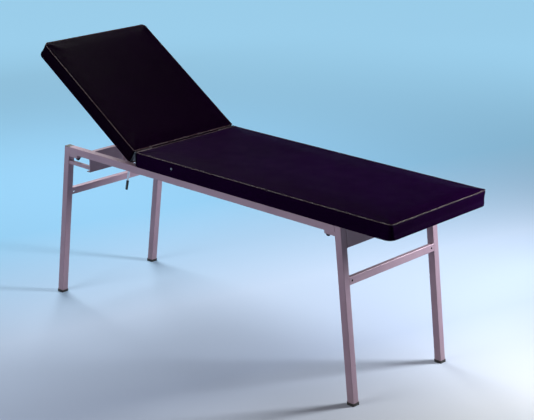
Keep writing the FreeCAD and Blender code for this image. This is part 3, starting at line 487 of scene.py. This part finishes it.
# %% A mesh of even quads for a boxed cushion
def boxed_cushion(name, length, radii, sharper, under, top):
    """A closed mesh centred on x = 0 and y = 0. Returns the object, its seam's vertices and the
    vertices that the board holds. The corners' radii shrink towards the top by the factors in
    sharper."""
    half, wide = length / 2, PAD_WIDTH / 2
    xs = grid_lines(half, radii, CELL)
    ys = grid_lines(wide, (max(radii), max(radii)), CELL)
    rows, seam_row = side_rows(under, top)
    mesh = bmesh.new()

    def vertex(x, y, inset, height):
        wider = (half - inset) / half, (wide - inset) / wide
        rise = min(1.0, max(0.0, (height - under - BOARD) / (top - EDGE_ROUND - under - BOARD)))
        here = [max(radius * (1 - rise * (1 - factor)) - inset, 0.001)
                for radius, factor in zip(radii, sharper)]
        spot = round_corners(x * wider[0], y * wider[1], half - inset, wide - inset, here)
        return mesh.verts.new((*spot, height))

    most_i, most_j = len(xs) - 1, len(ys) - 1
    border = ([(i, 0) for i in range(most_i)] + [(most_i, j) for j in range(most_j)]
              + [(i, most_j) for i in range(most_i, 0, -1)]
              + [(0, j) for j in range(most_j, 0, -1)])
    loops = [{spot: vertex(xs[spot[0]], ys[spot[1]], *row) for spot in border} for row in rows]
    sheets = []
    for loop, row in ((loops[0], rows[0]), (loops[-1], rows[-1])):
        sheets.append({(i, j): loop.get((i, j)) or vertex(xs[i], ys[j], *row)
                       for i in range(len(xs)) for j in range(len(ys))})
    for sheet, turned in zip(sheets, (True, False)):
        for i in range(most_i):
            for j in range(most_j):
                corners = [sheet[i, j], sheet[i + 1, j], sheet[i + 1, j + 1], sheet[i, j + 1]]
                mesh.faces.new(corners[::-1] if turned else corners)
    for lower, upper in zip(loops, loops[1:]):
        for first, second in zip(border, border[1:] + border[:1]):
            mesh.faces.new([lower[first], lower[second], upper[second], upper[first]])
    mesh.verts.index_update()
    seam = [loops[seam_row][spot].index for spot in border]
    held = [spot.index for spot in mesh.verts if spot.co.z < under + BOARD + 0.002]
    made = bpy.data.meshes.new(name)
    mesh.to_mesh(made)
    mesh.free()
    return new_object(name, made), seam, held


# %% [markdown]
# ### Blowing up the cover
# The Cloth modifier treats the mesh as a tight skin with pressure inside. The board's edge and
# everything below it are pinned. After twenty frames the shape is read back, and each point's
# move is eased to a limit, because firm foam hardly crowns.

# %% Inflate a cushion
MOST_MOVE = 0.0040
CLOTH_FRAMES = 20
CLOTH = {"quality": 3, "mass": 0.35, "tension_stiffness": 40.0, "compression_stiffness": 40.0,
         "shear_stiffness": 20.0, "bending_stiffness": 6.0, "use_pressure": True,
         "uniform_pressure_force": 4.0, "vertex_group_mass": "held"}


def points_of(mesh, wanted="co"):
    """The places of a mesh's vertices, or their normals."""
    values = np.empty(len(mesh.vertices) * 3)
    mesh.vertices.foreach_get(wanted, values)
    return values.reshape(-1, 3)


def apply(piece, modifier):
    """Gives a piece the mesh that its modifier makes."""
    depsgraph = bpy.context.evaluated_depsgraph_get()
    made = bpy.data.meshes.new_from_object(piece.evaluated_get(depsgraph))
    piece.modifiers.remove(modifier)
    piece.data = made


def inflate(cushion, held):
    pins = cushion.vertex_groups.new(name="held")
    pins.add(held, 1.0, "REPLACE")
    before = points_of(cushion.data)
    cloth = cushion.modifiers.new("foam", "CLOTH")
    for setting, value in CLOTH.items():
        setattr(cloth.settings, setting, value)
    cloth.settings.effector_weights.gravity = 0.0
    cloth.collision_settings.use_self_collision = False
    cloth.point_cache.frame_start, cloth.point_cache.frame_end = 1, CLOTH_FRAMES
    for number in range(1, CLOTH_FRAMES + 1):
        scene.frame_set(number)
    depsgraph = bpy.context.evaluated_depsgraph_get()
    after = points_of(cushion.evaluated_get(depsgraph).data)
    cushion.modifiers.remove(cloth)
    cushion.vertex_groups.remove(pins)
    scene.frame_set(1)
    move = after - before
    far = np.linalg.norm(move, axis=1, keepdims=True)
    eased = move * MOST_MOVE * np.tanh(far / MOST_MOVE) / np.maximum(far, 1e-9)
    cushion.data.vertices.foreach_set("co", (before + eased).ravel())
    print(cushion.name, "moved by cloth:", round(float(far.max()) * 1000, 1), "mm, kept",
          round(float(np.linalg.norm(eased, axis=1).max()) * 1000, 1), "mm")


def subdivide_once(cushion):
    smoother = cushion.modifiers.new("smoother", "SUBSURF")
    smoother.levels = smoother.render_levels = 1
    apply(cushion, smoother)

# %% [markdown]
# ### The seam
# Where the top panel meets the band, the thread pulls the cover in. The seam's own ring of
# vertices is known, so after the cloth each nearby point is drawn in by a bell-shaped amount,
# with a little noise for the puckers that stitches make.

# %% Draw the seam in
SEAM_PULL, SEAM_REACH = 0.0016, 0.007
PUCKER, PUCKER_REACH = 0.00045, 0.020
PUCKER_RATES = (55.0, 120.0)


def draw_seam_in(cushion, path):
    tree = KDTree(len(path))
    for index, spot in enumerate(path):
        tree.insert(spot, index)
    tree.balance()
    mesh = cushion.data
    spots, normals = points_of(mesh), points_of(mesh, "normal")
    for index in range(len(spots)):
        _, _, gap = tree.find(Vector(spots[index]))
        if gap > 3 * PUCKER_REACH:
            continue
        coarse, fine = (noise.noise(Vector(spots[index]) * rate) for rate in PUCKER_RATES)
        ripple = coarse + 0.5 * fine
        move = (-SEAM_PULL * math.exp(-(gap / SEAM_REACH) ** 2)
                + PUCKER * ripple * math.exp(-(gap / PUCKER_REACH) ** 2))
        spots[index] += normals[index] * move
    mesh.vertices.foreach_set("co", spots.ravel())
    mesh.update()


# %% Build both sections
def section(name, centre, length, seam_at_left, under, sharper, cover):
    radii = (SEAM_CORNER, OUTER_CORNER) if seam_at_left else (OUTER_CORNER, SEAM_CORNER)
    cushion, seam, held = boxed_cushion(name, length, radii, sharper, under, TOP_ABOVE_HINGE)
    inflate(cushion, held)
    path = [cushion.data.vertices[index].co.copy() for index in seam]
    subdivide_once(cushion)
    draw_seam_in(cushion, path)
    spots = points_of(cushion.data)
    keep = (np.maximum, -length / 2) if seam_at_left else (np.minimum, length / 2)
    spots[:, 0] = keep[0](spots[:, 0], keep[1])
    cushion.data.vertices.foreach_set("co", spots.ravel())
    cushion.data.shade_smooth()
    cushion.data.materials.append(cover)
    shift = Vector((centre, 0, 0))
    return cushion, [spot + shift for spot in path], Matrix.Translation(shift)


SEAT_CENTRE = SEAM_HALF + SEAT_LENGTH / 2
BACK_CENTRE = -SEAM_HALF - BACK_LENGTH / 2
seat_pad, seat_seam, seat_shift = section("seat_pad", SEAT_CENTRE, SEAT_LENGTH, True, SEAT_UNDER,
                                          sharper=(0.7, 0.45), cover=vinyl)
back_pad, back_seam, back_shift = section("backrest_pad", BACK_CENTRE, BACK_LENGTH, False,
                                          BACK_UNDER, sharper=(0.85, 0.7),
                                          cover=back_vinyl_painted_shade)
seat_place = Matrix.Translation(HINGE)
back_place = Matrix.Translation(HINGE) @ Matrix.Rotation(BACK_TURN, 4, "Y")
seat_pad.data.transform(seat_place @ seat_shift)
back_pad.data.transform(back_place @ back_shift)
for pad, body, node in ((seat_pad, "frame", "seat_cushion"),
                        (back_pad, "backrest", "backrest_cushion")):
    pad.data.update()
    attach(pad, body)
    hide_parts(node)
    print(pad.name, "faces:", len(pad.data.polygons))

# %% [markdown]
# ### Piping
# Piping is a cord in a strip of vinyl, sewn into the seam. It follows the seam exactly, so a
# Geometry Nodes tree sweeps a small circle along it: the mesh loop becomes a curve, the curve
# becomes a tube, and the tube gets its material.

# %% What the trees share
SHARP = 0.6


def curve_of(tree, mesh):
    return add(tree, "GeometryNodeMeshToCurve", {"Mesh": mesh}).outputs[0]


def sweep(tree, curve, sides, radius, more=None):
    ring = add(tree, "GeometryNodeCurvePrimitiveCircle", {"Resolution": sides, "Radius": radius})
    return add(tree, "GeometryNodeCurveToMesh", {
        "Curve": curve, "Profile Curve": ring.outputs[0], **(more or {})}).outputs[0]


def end_tree(tree, out, geometry, finish):
    """Real geometry, smooth faces, sharp edges where the surface turns more than SHARP radians,
    and a material."""
    real = add(tree, "GeometryNodeRealizeInstances", {0: geometry})
    smooth = add(tree, "GeometryNodeSetShadeSmooth", {0: real.outputs[0], "Shade Smooth": True})
    turn = add(tree, "GeometryNodeInputMeshEdgeAngle").outputs[0]
    steep = add(tree, "FunctionNodeCompare", {0: turn, 1: SHARP}, data_type="FLOAT",
                operation="GREATER_THAN")
    crisp = add(tree, "GeometryNodeSetShadeSmooth", {
        0: smooth.outputs[0], "Selection": steep.outputs[0], "Shade Smooth": False},
        domain="EDGE")
    dressed = add(tree, "GeometryNodeSetMaterial", {"Geometry": crisp.outputs[0],
                                                    "Material": finish})
    tree.links.new(dressed.outputs[0], out.inputs[0])


# %% A tree that sweeps a cord along a loop
def make_cord_tree():
    tree, given, out = start_group("cord along a loop", GROWTH, {
        "Loop": GEOMETRY, "Radius": 0.002, "Sides": 10, "Finish": MATERIAL})
    cord = sweep(tree, curve_of(tree, given["Loop"]), given["Sides"], given["Radius"])
    end_tree(tree, out, cord, given["Finish"])
    return tree


def grow(name, mesh, tree, values):
    """Runs a node tree on a mesh and returns the result as a plain object."""
    source = new_object(name, mesh)
    modifier = source.modifiers.new("growth", "NODES")
    modifier.node_group = tree
    identifiers = {item.name: item.identifier for item in tree.interface.items_tree
                   if item.in_out == "INPUT"}
    for label, value in values.items():
        modifier[identifiers[label]] = value
    apply(source, modifier)
    print(name, "faces:", len(source.data.polygons))
    return source


def line_mesh(name, paths, closed):
    mesh = bpy.data.meshes.new(name)
    spots, edges = [], []
    for path in paths:
        first = len(spots)
        spots += path
        edges += [(first + i, first + i + 1) for i in range(len(path) - 1)]
        if closed:
            edges.append((first + len(path) - 1, first))
    mesh.from_pydata([tuple(spot) for spot in spots], edges, [])
    return mesh


cord_tree = make_cord_tree()
PIPING_RADIUS = 0.0018
for name, seam, place, body in (("seat_piping", seat_seam, seat_place, "frame"),
                                ("backrest_piping", back_seam, back_place, "backrest")):
    loop = line_mesh(name, [[place @ spot for spot in seam]], closed=True)
    piping = grow(name, loop, cord_tree, {"Radius": PIPING_RADIUS, "Sides": 10,
                                          "Finish": piping_vinyl_painted_highlight})
    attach(piping, body)

# %% [markdown]
# ## Screws with cross slots
# The solid model has each screw as a plain turned shape. A real pan head has a dome and a cross
# slot. One head is made inside a Geometry Nodes tree, as a dome with bars cut out of it, and is
# placed on points that carry the direction and the size of each screw. The points are measured
# on the solid screws: an island of welded vertices is one screw, and its wide end is the head.

# %% Measure the solid screws
HEAD_SHARE = 0.8


def islands_of(name):
    """The separate solids of a node, as arrays of points in metres."""
    welded = bmesh.new()
    welded.from_mesh(nodes[name].data)
    bmesh.ops.remove_doubles(welded, verts=welded.verts, dist=1e-5)
    left, islands = set(welded.verts), []
    for start in welded.verts:
        if start not in left:
            continue
        left.discard(start)
        island, waiting = [], [start]
        while waiting:
            spot = waiting.pop()
            island.append(tuple(spot.co))
            for line in spot.link_edges:
                other = line.other_vert(spot)
                if other in left:
                    left.discard(other)
                    waiting.append(other)
        islands.append(np.array(island))
    welded.free()
    return islands


def round_axis(spots, way):
    """How far points lie along an axis, how far from it, and a point on it."""
    middle = spots.mean(axis=0)
    along = (spots - middle) @ way
    rest = (spots - middle) - np.outer(along, way)
    centre = (rest.min(axis=0) + rest.max(axis=0)) / 2
    return along, np.linalg.norm(rest - centre, axis=1), middle + centre


def heads_of(name, axis):
    """For each screw: the middle of the plane under its head, the way out, radius and height."""
    heads = []
    for island in islands_of(name):
        along, away, middle = round_axis(island, np.array(axis))
        wide = along[away > HEAD_SHARE * away.max()]
        out = 1.0 if wide.mean() > (along.min() + along.max()) / 2 else -1.0
        top, under = (out * along).max(), (out * wide).min()
        heads.append((Vector(middle + out * under * np.array(axis)), out * Vector(axis),
                      float(away.max()), float(top - under)))
    return heads


# %% A tree that puts a pan head on each point
def lifted(tree, solid, height):
    return add(tree, "GeometryNodeTransform", {0: solid.outputs[0],
                                               "Translation": (0.0, 0.0, height)}).outputs[0]


def make_screw_tree():
    tree, given, out = start_group("pan heads on points", GROWTH, {
        "Points": GEOMETRY, "Slot Width": 0.26, "Slot Depth": 0.55, "Finish": MATERIAL})
    ball = add(tree, "GeometryNodeMeshUVSphere", {"Segments": 20, "Rings": 12, "Radius": 1.0})
    below = lifted(tree, add(tree, "GeometryNodeMeshCube", {"Size": (3.0, 3.0, 3.0)}), -1.5)
    bars = [{"X": 1.3, "Y": given["Slot Width"]}, {"X": given["Slot Width"], "Y": 1.3}]
    slots = []
    for bar in bars:
        size = add(tree, "ShaderNodeCombineXYZ", {**bar, "Z": given["Slot Depth"]})
        cube = add(tree, "GeometryNodeMeshCube", {"Size": size.outputs[0]})
        slots.append(lifted(tree, cube, 1.0))
    cut = add(tree, "GeometryNodeMeshBoolean", {0: ball.outputs[0]}, operation="DIFFERENCE")
    for tool in (below, *slots):
        tree.links.new(tool, cut.inputs[1])
    shank = add(tree, "GeometryNodeMeshCylinder", {"Vertices": 16, "Radius": 0.5, "Depth": 1.2})
    whole = add(tree, "GeometryNodeJoinGeometry")
    for part in (lifted(tree, shank, -0.58), cut.outputs[0]):
        tree.links.new(part, whole.inputs[0])
    way, size = (add(tree, "GeometryNodeInputNamedAttribute", {"Name": label},
                     data_type="FLOAT_VECTOR") for label in ("way", "size"))
    turn = add(tree, "FunctionNodeAlignRotationToVector", {"Vector": way.outputs[0]}, axis="Z")
    placed = add(tree, "GeometryNodeInstanceOnPoints", {
        "Points": given["Points"], "Instance": whole.outputs[0], "Rotation": turn.outputs[0],
        "Scale": size.outputs[0]})
    end_tree(tree, out, placed.outputs[0], given["Finish"])
    return tree


# %% Put heads on the measured places
def point_mesh(name, spots, **vectors):
    mesh = bpy.data.meshes.new(name)
    mesh.from_pydata([tuple(spot) for spot in spots], [], [])
    for label, values in vectors.items():
        layer = mesh.attributes.new(label, "FLOAT_VECTOR", "POINT")
        layer.data.foreach_set("vector", np.array(values, dtype=np.float32).ravel())
    return mesh


screw_tree = make_screw_tree()
BACK_UP = back_place.to_3x3() @ Vector((0, 0, 1))
LEG_SPLAY = math.radians(7.0)
LEAN = (math.cos(LEG_SPLAY), 0.0, math.sin(LEG_SPLAY))
# The foot brace's screws sit inside its hollow tube and take the near-black finish as painted
# shade, so that their holes read black.
SCREWS = [("head_brace_screws", "frame", (LEAN[0], 0.0, -LEAN[2]), bright),
          ("foot_brace_screws", "frame", LEAN, dark),
          ("seat_board_screws", "frame", (0, 0, 1), zinc),
          ("quadrant_screws", "backrest", tuple(BACK_UP), zinc)]
for node, body, axis, finish in SCREWS:
    heads = heads_of(node, axis)
    made_name = node.replace("screws", "pan_heads")
    points = point_mesh(made_name, [head[0] for head in heads], way=[head[1] for head in heads],
                        size=[(head[2], head[2], head[3]) for head in heads])
    screws = grow(made_name, points, screw_tree, {"Slot Width": 0.26, "Slot Depth": 0.9,
                                                  "Finish": finish})
    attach(screws, body)
    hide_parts(node)
    print(node, len(heads), "heads, radius and height in mm:",
          sorted({(round(head[2] * 1000, 1), round(head[3] * 1000, 1)) for head in heads}))

# %% [markdown]
# ## Weld beads
# The cross tubes and the foot apron are welded between the rails and the legs. A weld is a row of
# small overlapping puddles, so its bead is a cord whose radius swells and shrinks along its way.
# The path is the outline of the end face of each solid, which is where the real seam runs.

# %% A tree that sweeps a rippled bead
def make_weld_tree():
    tree, given, out = start_group("weld bead", GROWTH, {
        "Loop": GEOMETRY, "Radius": 0.0018, "Ripple": 0.0022, "Finish": MATERIAL})
    even = add(tree, "GeometryNodeResampleCurve", {
        "Curve": curve_of(tree, given["Loop"]),
        "Length": math_node(tree, "DIVIDE", given["Ripple"], 2.0)}, mode="LENGTH")
    number = add(tree, "GeometryNodeInputIndex").outputs[0]
    wave = math_node(tree, "SINE", times(tree, number, 2.4))
    uneven = add(tree, "ShaderNodeTexNoise", {"Scale": 160.0, "Detail": 1.0}).outputs["Fac"]
    swell = plus(tree, times(tree, wave, 0.14), plus(tree, 0.6, times(tree, uneven, 0.7)))
    bead = sweep(tree, even.outputs[0], 8, 1.0, {"Scale": times(tree, swell, given["Radius"])})
    end_tree(tree, out, bead, given["Finish"])
    return tree


# %% Weld the cross tubes and the foot apron
def end_outline(name, side):
    """The corners of a node's end face at its furthest y, in order round the face."""
    spots = points_of(nodes[name].data)
    reach = (spots[:, 1] * side).max()
    face = np.unique(np.round(spots[spots[:, 1] * side > reach - 2e-4], 5), axis=0)
    middle = face.mean(axis=0)
    order = np.argsort(np.arctan2(face[:, 2] - middle[2], face[:, 0] - middle[0]))
    return [Vector(face[index]) for index in order]


outlines = [end_outline(name, side) for side in (-1, 1)
            for name in ("middle_cross_tube", "hinge_cross_tube", "foot_apron")]
print("corners in each outline:", [len(outline) for outline in outlines])
beads = grow("frame_welds", line_mesh("frame_welds", outlines, closed=True), make_weld_tree(),
             {"Radius": 0.0018, "Ripple": 0.0022, "Finish": paint})
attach(beads, "frame")

# %% [markdown]
# ## The turned-in cover under the backrest
# From behind the table, the board under the raised section shows. The cover is pulled round its
# edge and stapled down in a strip whose cut edge is not quite straight. The strip is thin,
# because the board comes down on the rails when the section lies flat. The staples stand in the
# narrow space beside the rails.

# %% The strip
HEM_SIDE, HEM_END, HEM_THICK, HEM_TUCK = 0.0395, 0.030, 0.0004, 0.0034
HEM_ROWS = [(0.0, 0.0006), (0.0, -0.0002), (0.03, -HEM_THICK), (0.97, -HEM_THICK),
            (1.0, -0.0002), (1.0, 0.0006)]
HEM_SIDE_STEPS, HEM_CORNER, HEM_CORNER_GAIN = 60, 0.004, 0.022
HEM_RIPPLE, HEM_RIPPLE_RATE = 0.0009, 38.0


def hem_point(step, share, rise):
    """A point of the strip: a step of the way round the board, and a share of the way inwards."""
    half, wide = BACK_LENGTH / 2, PAD_WIDTH / 2
    corners = [(-half, -wide), (half, -wide), (half, wide), (-half, wide)]
    side, along = step // HEM_SIDE_STEPS, (step % HEM_SIDE_STEPS) / HEM_SIDE_STEPS
    start, end = corners[side], corners[(side + 1) % 4]
    x, y = (first + (last - first) * along for first, last in zip(start, end))
    reach = (half - HEM_TUCK - (HEM_END - HEM_TUCK) * share,
             wide - HEM_TUCK - (HEM_SIDE - HEM_TUCK) * share)
    corner = HEM_CORNER + HEM_CORNER_GAIN * (1 - share)
    x, y = round_corners(x * reach[0] / half, y * reach[1] / wide, *reach,
                         (corner, 0.6 * corner))
    ripple = HEM_RIPPLE * noise.noise(Vector((x, y, 0)) * HEM_RIPPLE_RATE) if share > 0.9 else 0.0
    if side in (1, 3):
        x += ripple
    else:
        y += ripple
    return back_place @ Vector((x + BACK_CENTRE, y, BACK_UNDER + rise))


def hem_mesh():
    strip = bmesh.new()
    spots = [[strip.verts.new(hem_point(step, *row)) for row in HEM_ROWS]
             for step in range(4 * HEM_SIDE_STEPS)]
    for here, there in zip(spots, spots[1:] + spots[:1]):
        for row in range(len(HEM_ROWS)):
            after = (row + 1) % len(HEM_ROWS)
            strip.faces.new((here[row], here[after], there[after], there[row]))
    bmesh.ops.recalc_face_normals(strip, faces=strip.faces)
    mesh = bpy.data.meshes.new("backrest_hem")
    strip.to_mesh(mesh)
    strip.free()
    return mesh


hem = new_object("backrest_hem", hem_mesh())
hem.data.materials.append(back_vinyl_painted_shade)
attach(hem, "backrest")
print("hem faces:", len(hem.data.polygons))


# %% A tree that sets staples along a line
def make_staple_tree():
    tree, given, out = start_group("staples along a line", GROWTH, {
        "Line": GEOMETRY, "Pitch": 0.02, "Width": 0.0105, "Wire": 0.0007, "Seed": 4,
        "Finish": MATERIAL})
    even = add(tree, "GeometryNodeResampleCurve", {
        "Curve": curve_of(tree, given["Line"]), "Length": given["Pitch"]}, mode="LENGTH")
    crown = add(tree, "ShaderNodeCombineXYZ", {"X": given["Width"], "Y": given["Wire"],
                                               "Z": given["Wire"]})
    bar = add(tree, "GeometryNodeMeshCube", {"Size": crown.outputs[0]})
    along = add(tree, "GeometryNodeInputTangent").outputs[0]
    turn = add(tree, "FunctionNodeAlignRotationToVector", {"Vector": along}, axis="X")
    tilt = add(tree, "FunctionNodeRandomValue", {2: -0.05, 3: 0.05, "Seed": given["Seed"]},
               data_type="FLOAT")
    lean = add(tree, "ShaderNodeCombineXYZ", {"Z": tilt.outputs[1]})
    turned = add(tree, "FunctionNodeRotateRotation", {0: turn.outputs[0], 1: lean.outputs[0]},
                 rotation_space="LOCAL")
    placed = add(tree, "GeometryNodeInstanceOnPoints", {
        "Points": even.outputs[0], "Instance": bar.outputs[0], "Rotation": turned.outputs[0]})
    end_tree(tree, out, placed.outputs[0], given["Finish"])
    return tree


# %% Staple the strip
SIDE_ROW, END_ROW, ROW_STOP = 0.0384, 0.020, 0.055


def staple_rows():
    """The two ends of each row of staples: the long sides first, then the ends of the board."""
    half, wide = BACK_LENGTH / 2, PAD_WIDTH / 2
    stop, reach = half - ROW_STOP, wide - SIDE_ROW
    rows = [[(-stop, side * reach), (stop, side * reach)] for side in (-1, 1)]
    stop, reach = wide - ROW_STOP, half - END_ROW
    return rows + [[(end * reach, -stop), (end * reach, stop)] for end in (-1, 1)]


lines = [[back_place @ Vector((x + BACK_CENTRE, y, BACK_UNDER - HEM_THICK)) for x, y in row]
         for row in staple_rows()]
staples = grow("backrest_staples", line_mesh("backrest_staples", lines, closed=False),
               make_staple_tree(), {"Pitch": 0.021, "Width": 0.0105, "Wire": 0.0007, "Seed": 4,
                                    "Finish": zinc})
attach(staples, "backrest")

# %% [markdown]
# ## The lever's grip
# The grip is moulded rubber with rings that stop a thumb from slipping. It is a line along the
# lever whose radius rises and falls, swept into a closed tube with a rounded end.

# %% A ribbed grip
THINNEST = 0.0002


def make_grip_tree():
    tree, given, out = start_group("ribbed grip", GROWTH, {
        "Line": GEOMETRY, "Radius": 0.0055, "Rings": 9.0, "Depth": 0.14, "Finish": MATERIAL})
    fine = add(tree, "GeometryNodeResampleCurve", {
        "Curve": curve_of(tree, given["Line"]), "Count": 140}, mode="COUNT")
    share = add(tree, "GeometryNodeSplineParameter").outputs["Factor"]
    turns = times(tree, given["Rings"], math.tau)
    wave = math_node(tree, "SINE", times(tree, share, turns))
    rise = times(tree, times(tree, wave, 0.5), given["Depth"])
    mean = math_node(tree, "SUBTRACT", 1.0, times(tree, given["Depth"], 0.5))
    from_end = math_node(tree, "MINIMUM", share, math_node(tree, "SUBTRACT", 1.0, share))
    cap = math_node(tree, "MINIMUM", times(tree, from_end, 9.0), 1.0)
    domed = math_node(tree, "POWER", times(tree, cap, math_node(tree, "SUBTRACT", 2.0, cap)), 0.5)
    size = times(tree, times(tree, plus(tree, mean, rise), domed), given["Radius"])
    size = math_node(tree, "MAXIMUM", size, THINNEST)
    grip = sweep(tree, fine.outputs[0], 28, 1.0, {"Scale": size, "Fill Caps": True})
    end_tree(tree, out, grip, given["Finish"])
    return tree


def long_axis(name):
    """The two ends of a long node's middle line, and its radius."""
    spots = points_of(nodes[name].data)
    values, ways = np.linalg.eigh(np.cov((spots - spots.mean(axis=0)).T))
    way = ways[:, int(np.argmax(values))]
    along, away, middle = round_axis(spots, way)
    ends = [Vector(middle + reach * way) for reach in (along.min(), along.max())]
    return ends, float(away.max())


grip_line, grip_radius = long_axis("lever_grip")
grip = grow("lever_grip_ribbed", line_mesh("lever_grip_ribbed", [grip_line], closed=False),
            make_grip_tree(), {"Radius": grip_radius, "Rings": 9.0, "Depth": 0.14,
                               "Finish": rubber})
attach(grip, "clamp_lever")
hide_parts("lever_grip")
print("grip radius mm:", round(grip_radius * 1000, 2))

# %% [markdown]
# ## Floor and light
# The floor and the backdrop are one pale sheet, whose tones run from a pale grey at the foot end
# to blue at the head end, with a darker band between them that is a painted soft shadow. Under
# the right lamp the sheet is painted darker, as painted shade that evens out the lamp's pool of
# light. Far away it glows in the colour of the haze, so no horizon shows. Rays that light the
# table see a darker sheet than the camera does, which keeps the blue off the paint. Mirror rays
# see haze at the horizon and a dark room above it.

# %% The sheet
# The darker stop at 0.28 is a painted soft shadow on the sheet; the other stops are its tones.
FLOOR_TONES_AND_PAINTED_SHADOW = [(0.0, (0.53, 0.57, 0.62)), (0.28, (0.40, 0.49, 0.65)), (0.55, (0.50, 0.63, 0.81)),
               (1.0, (0.27, 0.58, 0.84))]
FADE_WAY, FADE_FROM, FADE_TO = (-1.12, 0.31, 0.0), -1.3, 1.8
HAZE = (0.36, 0.68, 0.90)
BOUNCED = (0.11, 0.10, 0.11)
BLACK = (0.0, 0.0, 0.0)
NEAR_GLOW, NEAR_FROM, NEAR_TO = 0.8, 1.0, 6.0
FAR_GLOW, FAR_FROM, FAR_TO = 0.2, 7.0, 17.0
UNDER_LAMP, LAMP_REACH, LAMP_SHADE = (1.35, 1.2, 0.0), 1.0, 0.4


def make_backdrop_material():
    material, tree, shader = new_material("backdrop_sheet")
    place = own_place(tree)
    away = vector_math(tree, "LENGTH", place)
    distant = remap(tree, away, NEAR_FROM, NEAR_TO, high=NEAR_GLOW, eased=True)
    lost = remap(tree, away, FAR_FROM, FAR_TO, eased=True)
    glow = plus(tree, distant, times(tree, lost, FAR_GLOW))
    depth = vector_math(tree, "DOT_PRODUCT", place, FADE_WAY)
    tone = ramp(tree, remap(tree, depth, FADE_FROM, FADE_TO), FLOOR_TONES_AND_PAINTED_SHADOW)
    light_path = add(tree, "ShaderNodeLightPath").outputs
    seen = math_node(tree, "MAXIMUM", light_path["Is Camera Ray"], light_path["Is Glossy Ray"])
    # Painted shade: the sheet is made darker under the right lamp, to even out that lamp's pool
    # of light.
    near = vector_math(tree, "DISTANCE", place, UNDER_LAMP)
    painted_lamp_shade = remap(tree, near, 0.0, LAMP_REACH, low=LAMP_SHADE, eased=True)
    tone = blend_colour(tree, painted_lamp_shade, BLACK, tone)
    tone = blend_colour(tree, lost, tone, BLACK)
    feed(tree, shader, {
        "Base Color": blend_colour(tree, seen, BOUNCED, tone), "Roughness": 0.9,
        "Emission Color": (*HAZE, 1.0), "Emission Strength": times(tree, glow, seen)})
    return material


SHEET_SIZE = 40.0
bpy.ops.mesh.primitive_plane_add(size=SHEET_SIZE, location=(0.0, 0.0, 0.0))
floor = bpy.context.object
floor.name = "floor_sheet"
floor.data.materials.append(make_backdrop_material())
print("sheet:", SHEET_SIZE, "m")

# %% The room around it
FILL, DARK_ROOM, ROOM_FROM = (0.11, 0.10, 0.11), (0.05, 0.05, 0.06), 0.07
world = bpy.data.worlds.new("studio")
scene.world = world
world.use_nodes = True
room = world.node_tree
light_path = add(room, "ShaderNodeLightPath").outputs
height = z_of(room, add(room, "ShaderNodeTexCoord").outputs["Generated"])
mirrored = ramp(room, height, [(0.0, HAZE), (ROOM_FROM, DARK_ROOM)])
shown = blend_colour(room, light_path["Is Glossy Ray"], FILL, mirrored)
shown = blend_colour(room, light_path["Is Camera Ray"], shown, HAZE)
feed(room, room.nodes["Background"], {"Color": shown, "Strength": 1.0})
print("room nodes:", len(room.nodes))

# %% [markdown]
# ### Lamps
# Three soft lamps light the table. The key hangs above and behind the head end, so the seat is
# lit and the raised backrest faces away from it, as in the picture. A small one beyond the foot
# end gives the legs there their bright sides, and a large one in front fills the shade.

# %% Soft lamps

def soft_lamp(name, place, aim, size, power):
    lamp = bpy.data.lights.new(name, "AREA")
    lamp.shape, lamp.size, lamp.energy = "SQUARE", size, power
    holder = new_object(name, lamp)
    turn = (Vector(aim) - Vector(place)).to_track_quat("-Z", "Y").to_matrix().to_4x4()
    holder.matrix_world = Matrix.Translation(place) @ turn
    print(name, power, "W,", size, "m wide")


soft_lamp("key_lamp", (-2.4, 0.9, 2.8), (0.3, 0.0, 0.7), 1.6, 85.0)
soft_lamp("right_lamp", (1.6, 1.5, 1.25), (0.7, 0.1, 0.35), 0.5, 64.0)
soft_lamp("front_lamp", (-1.0, -4.2, 2.0), (0.0, 0.0, 0.4), 2.2, 82.0)
scene.view_settings.view_transform = "Standard"
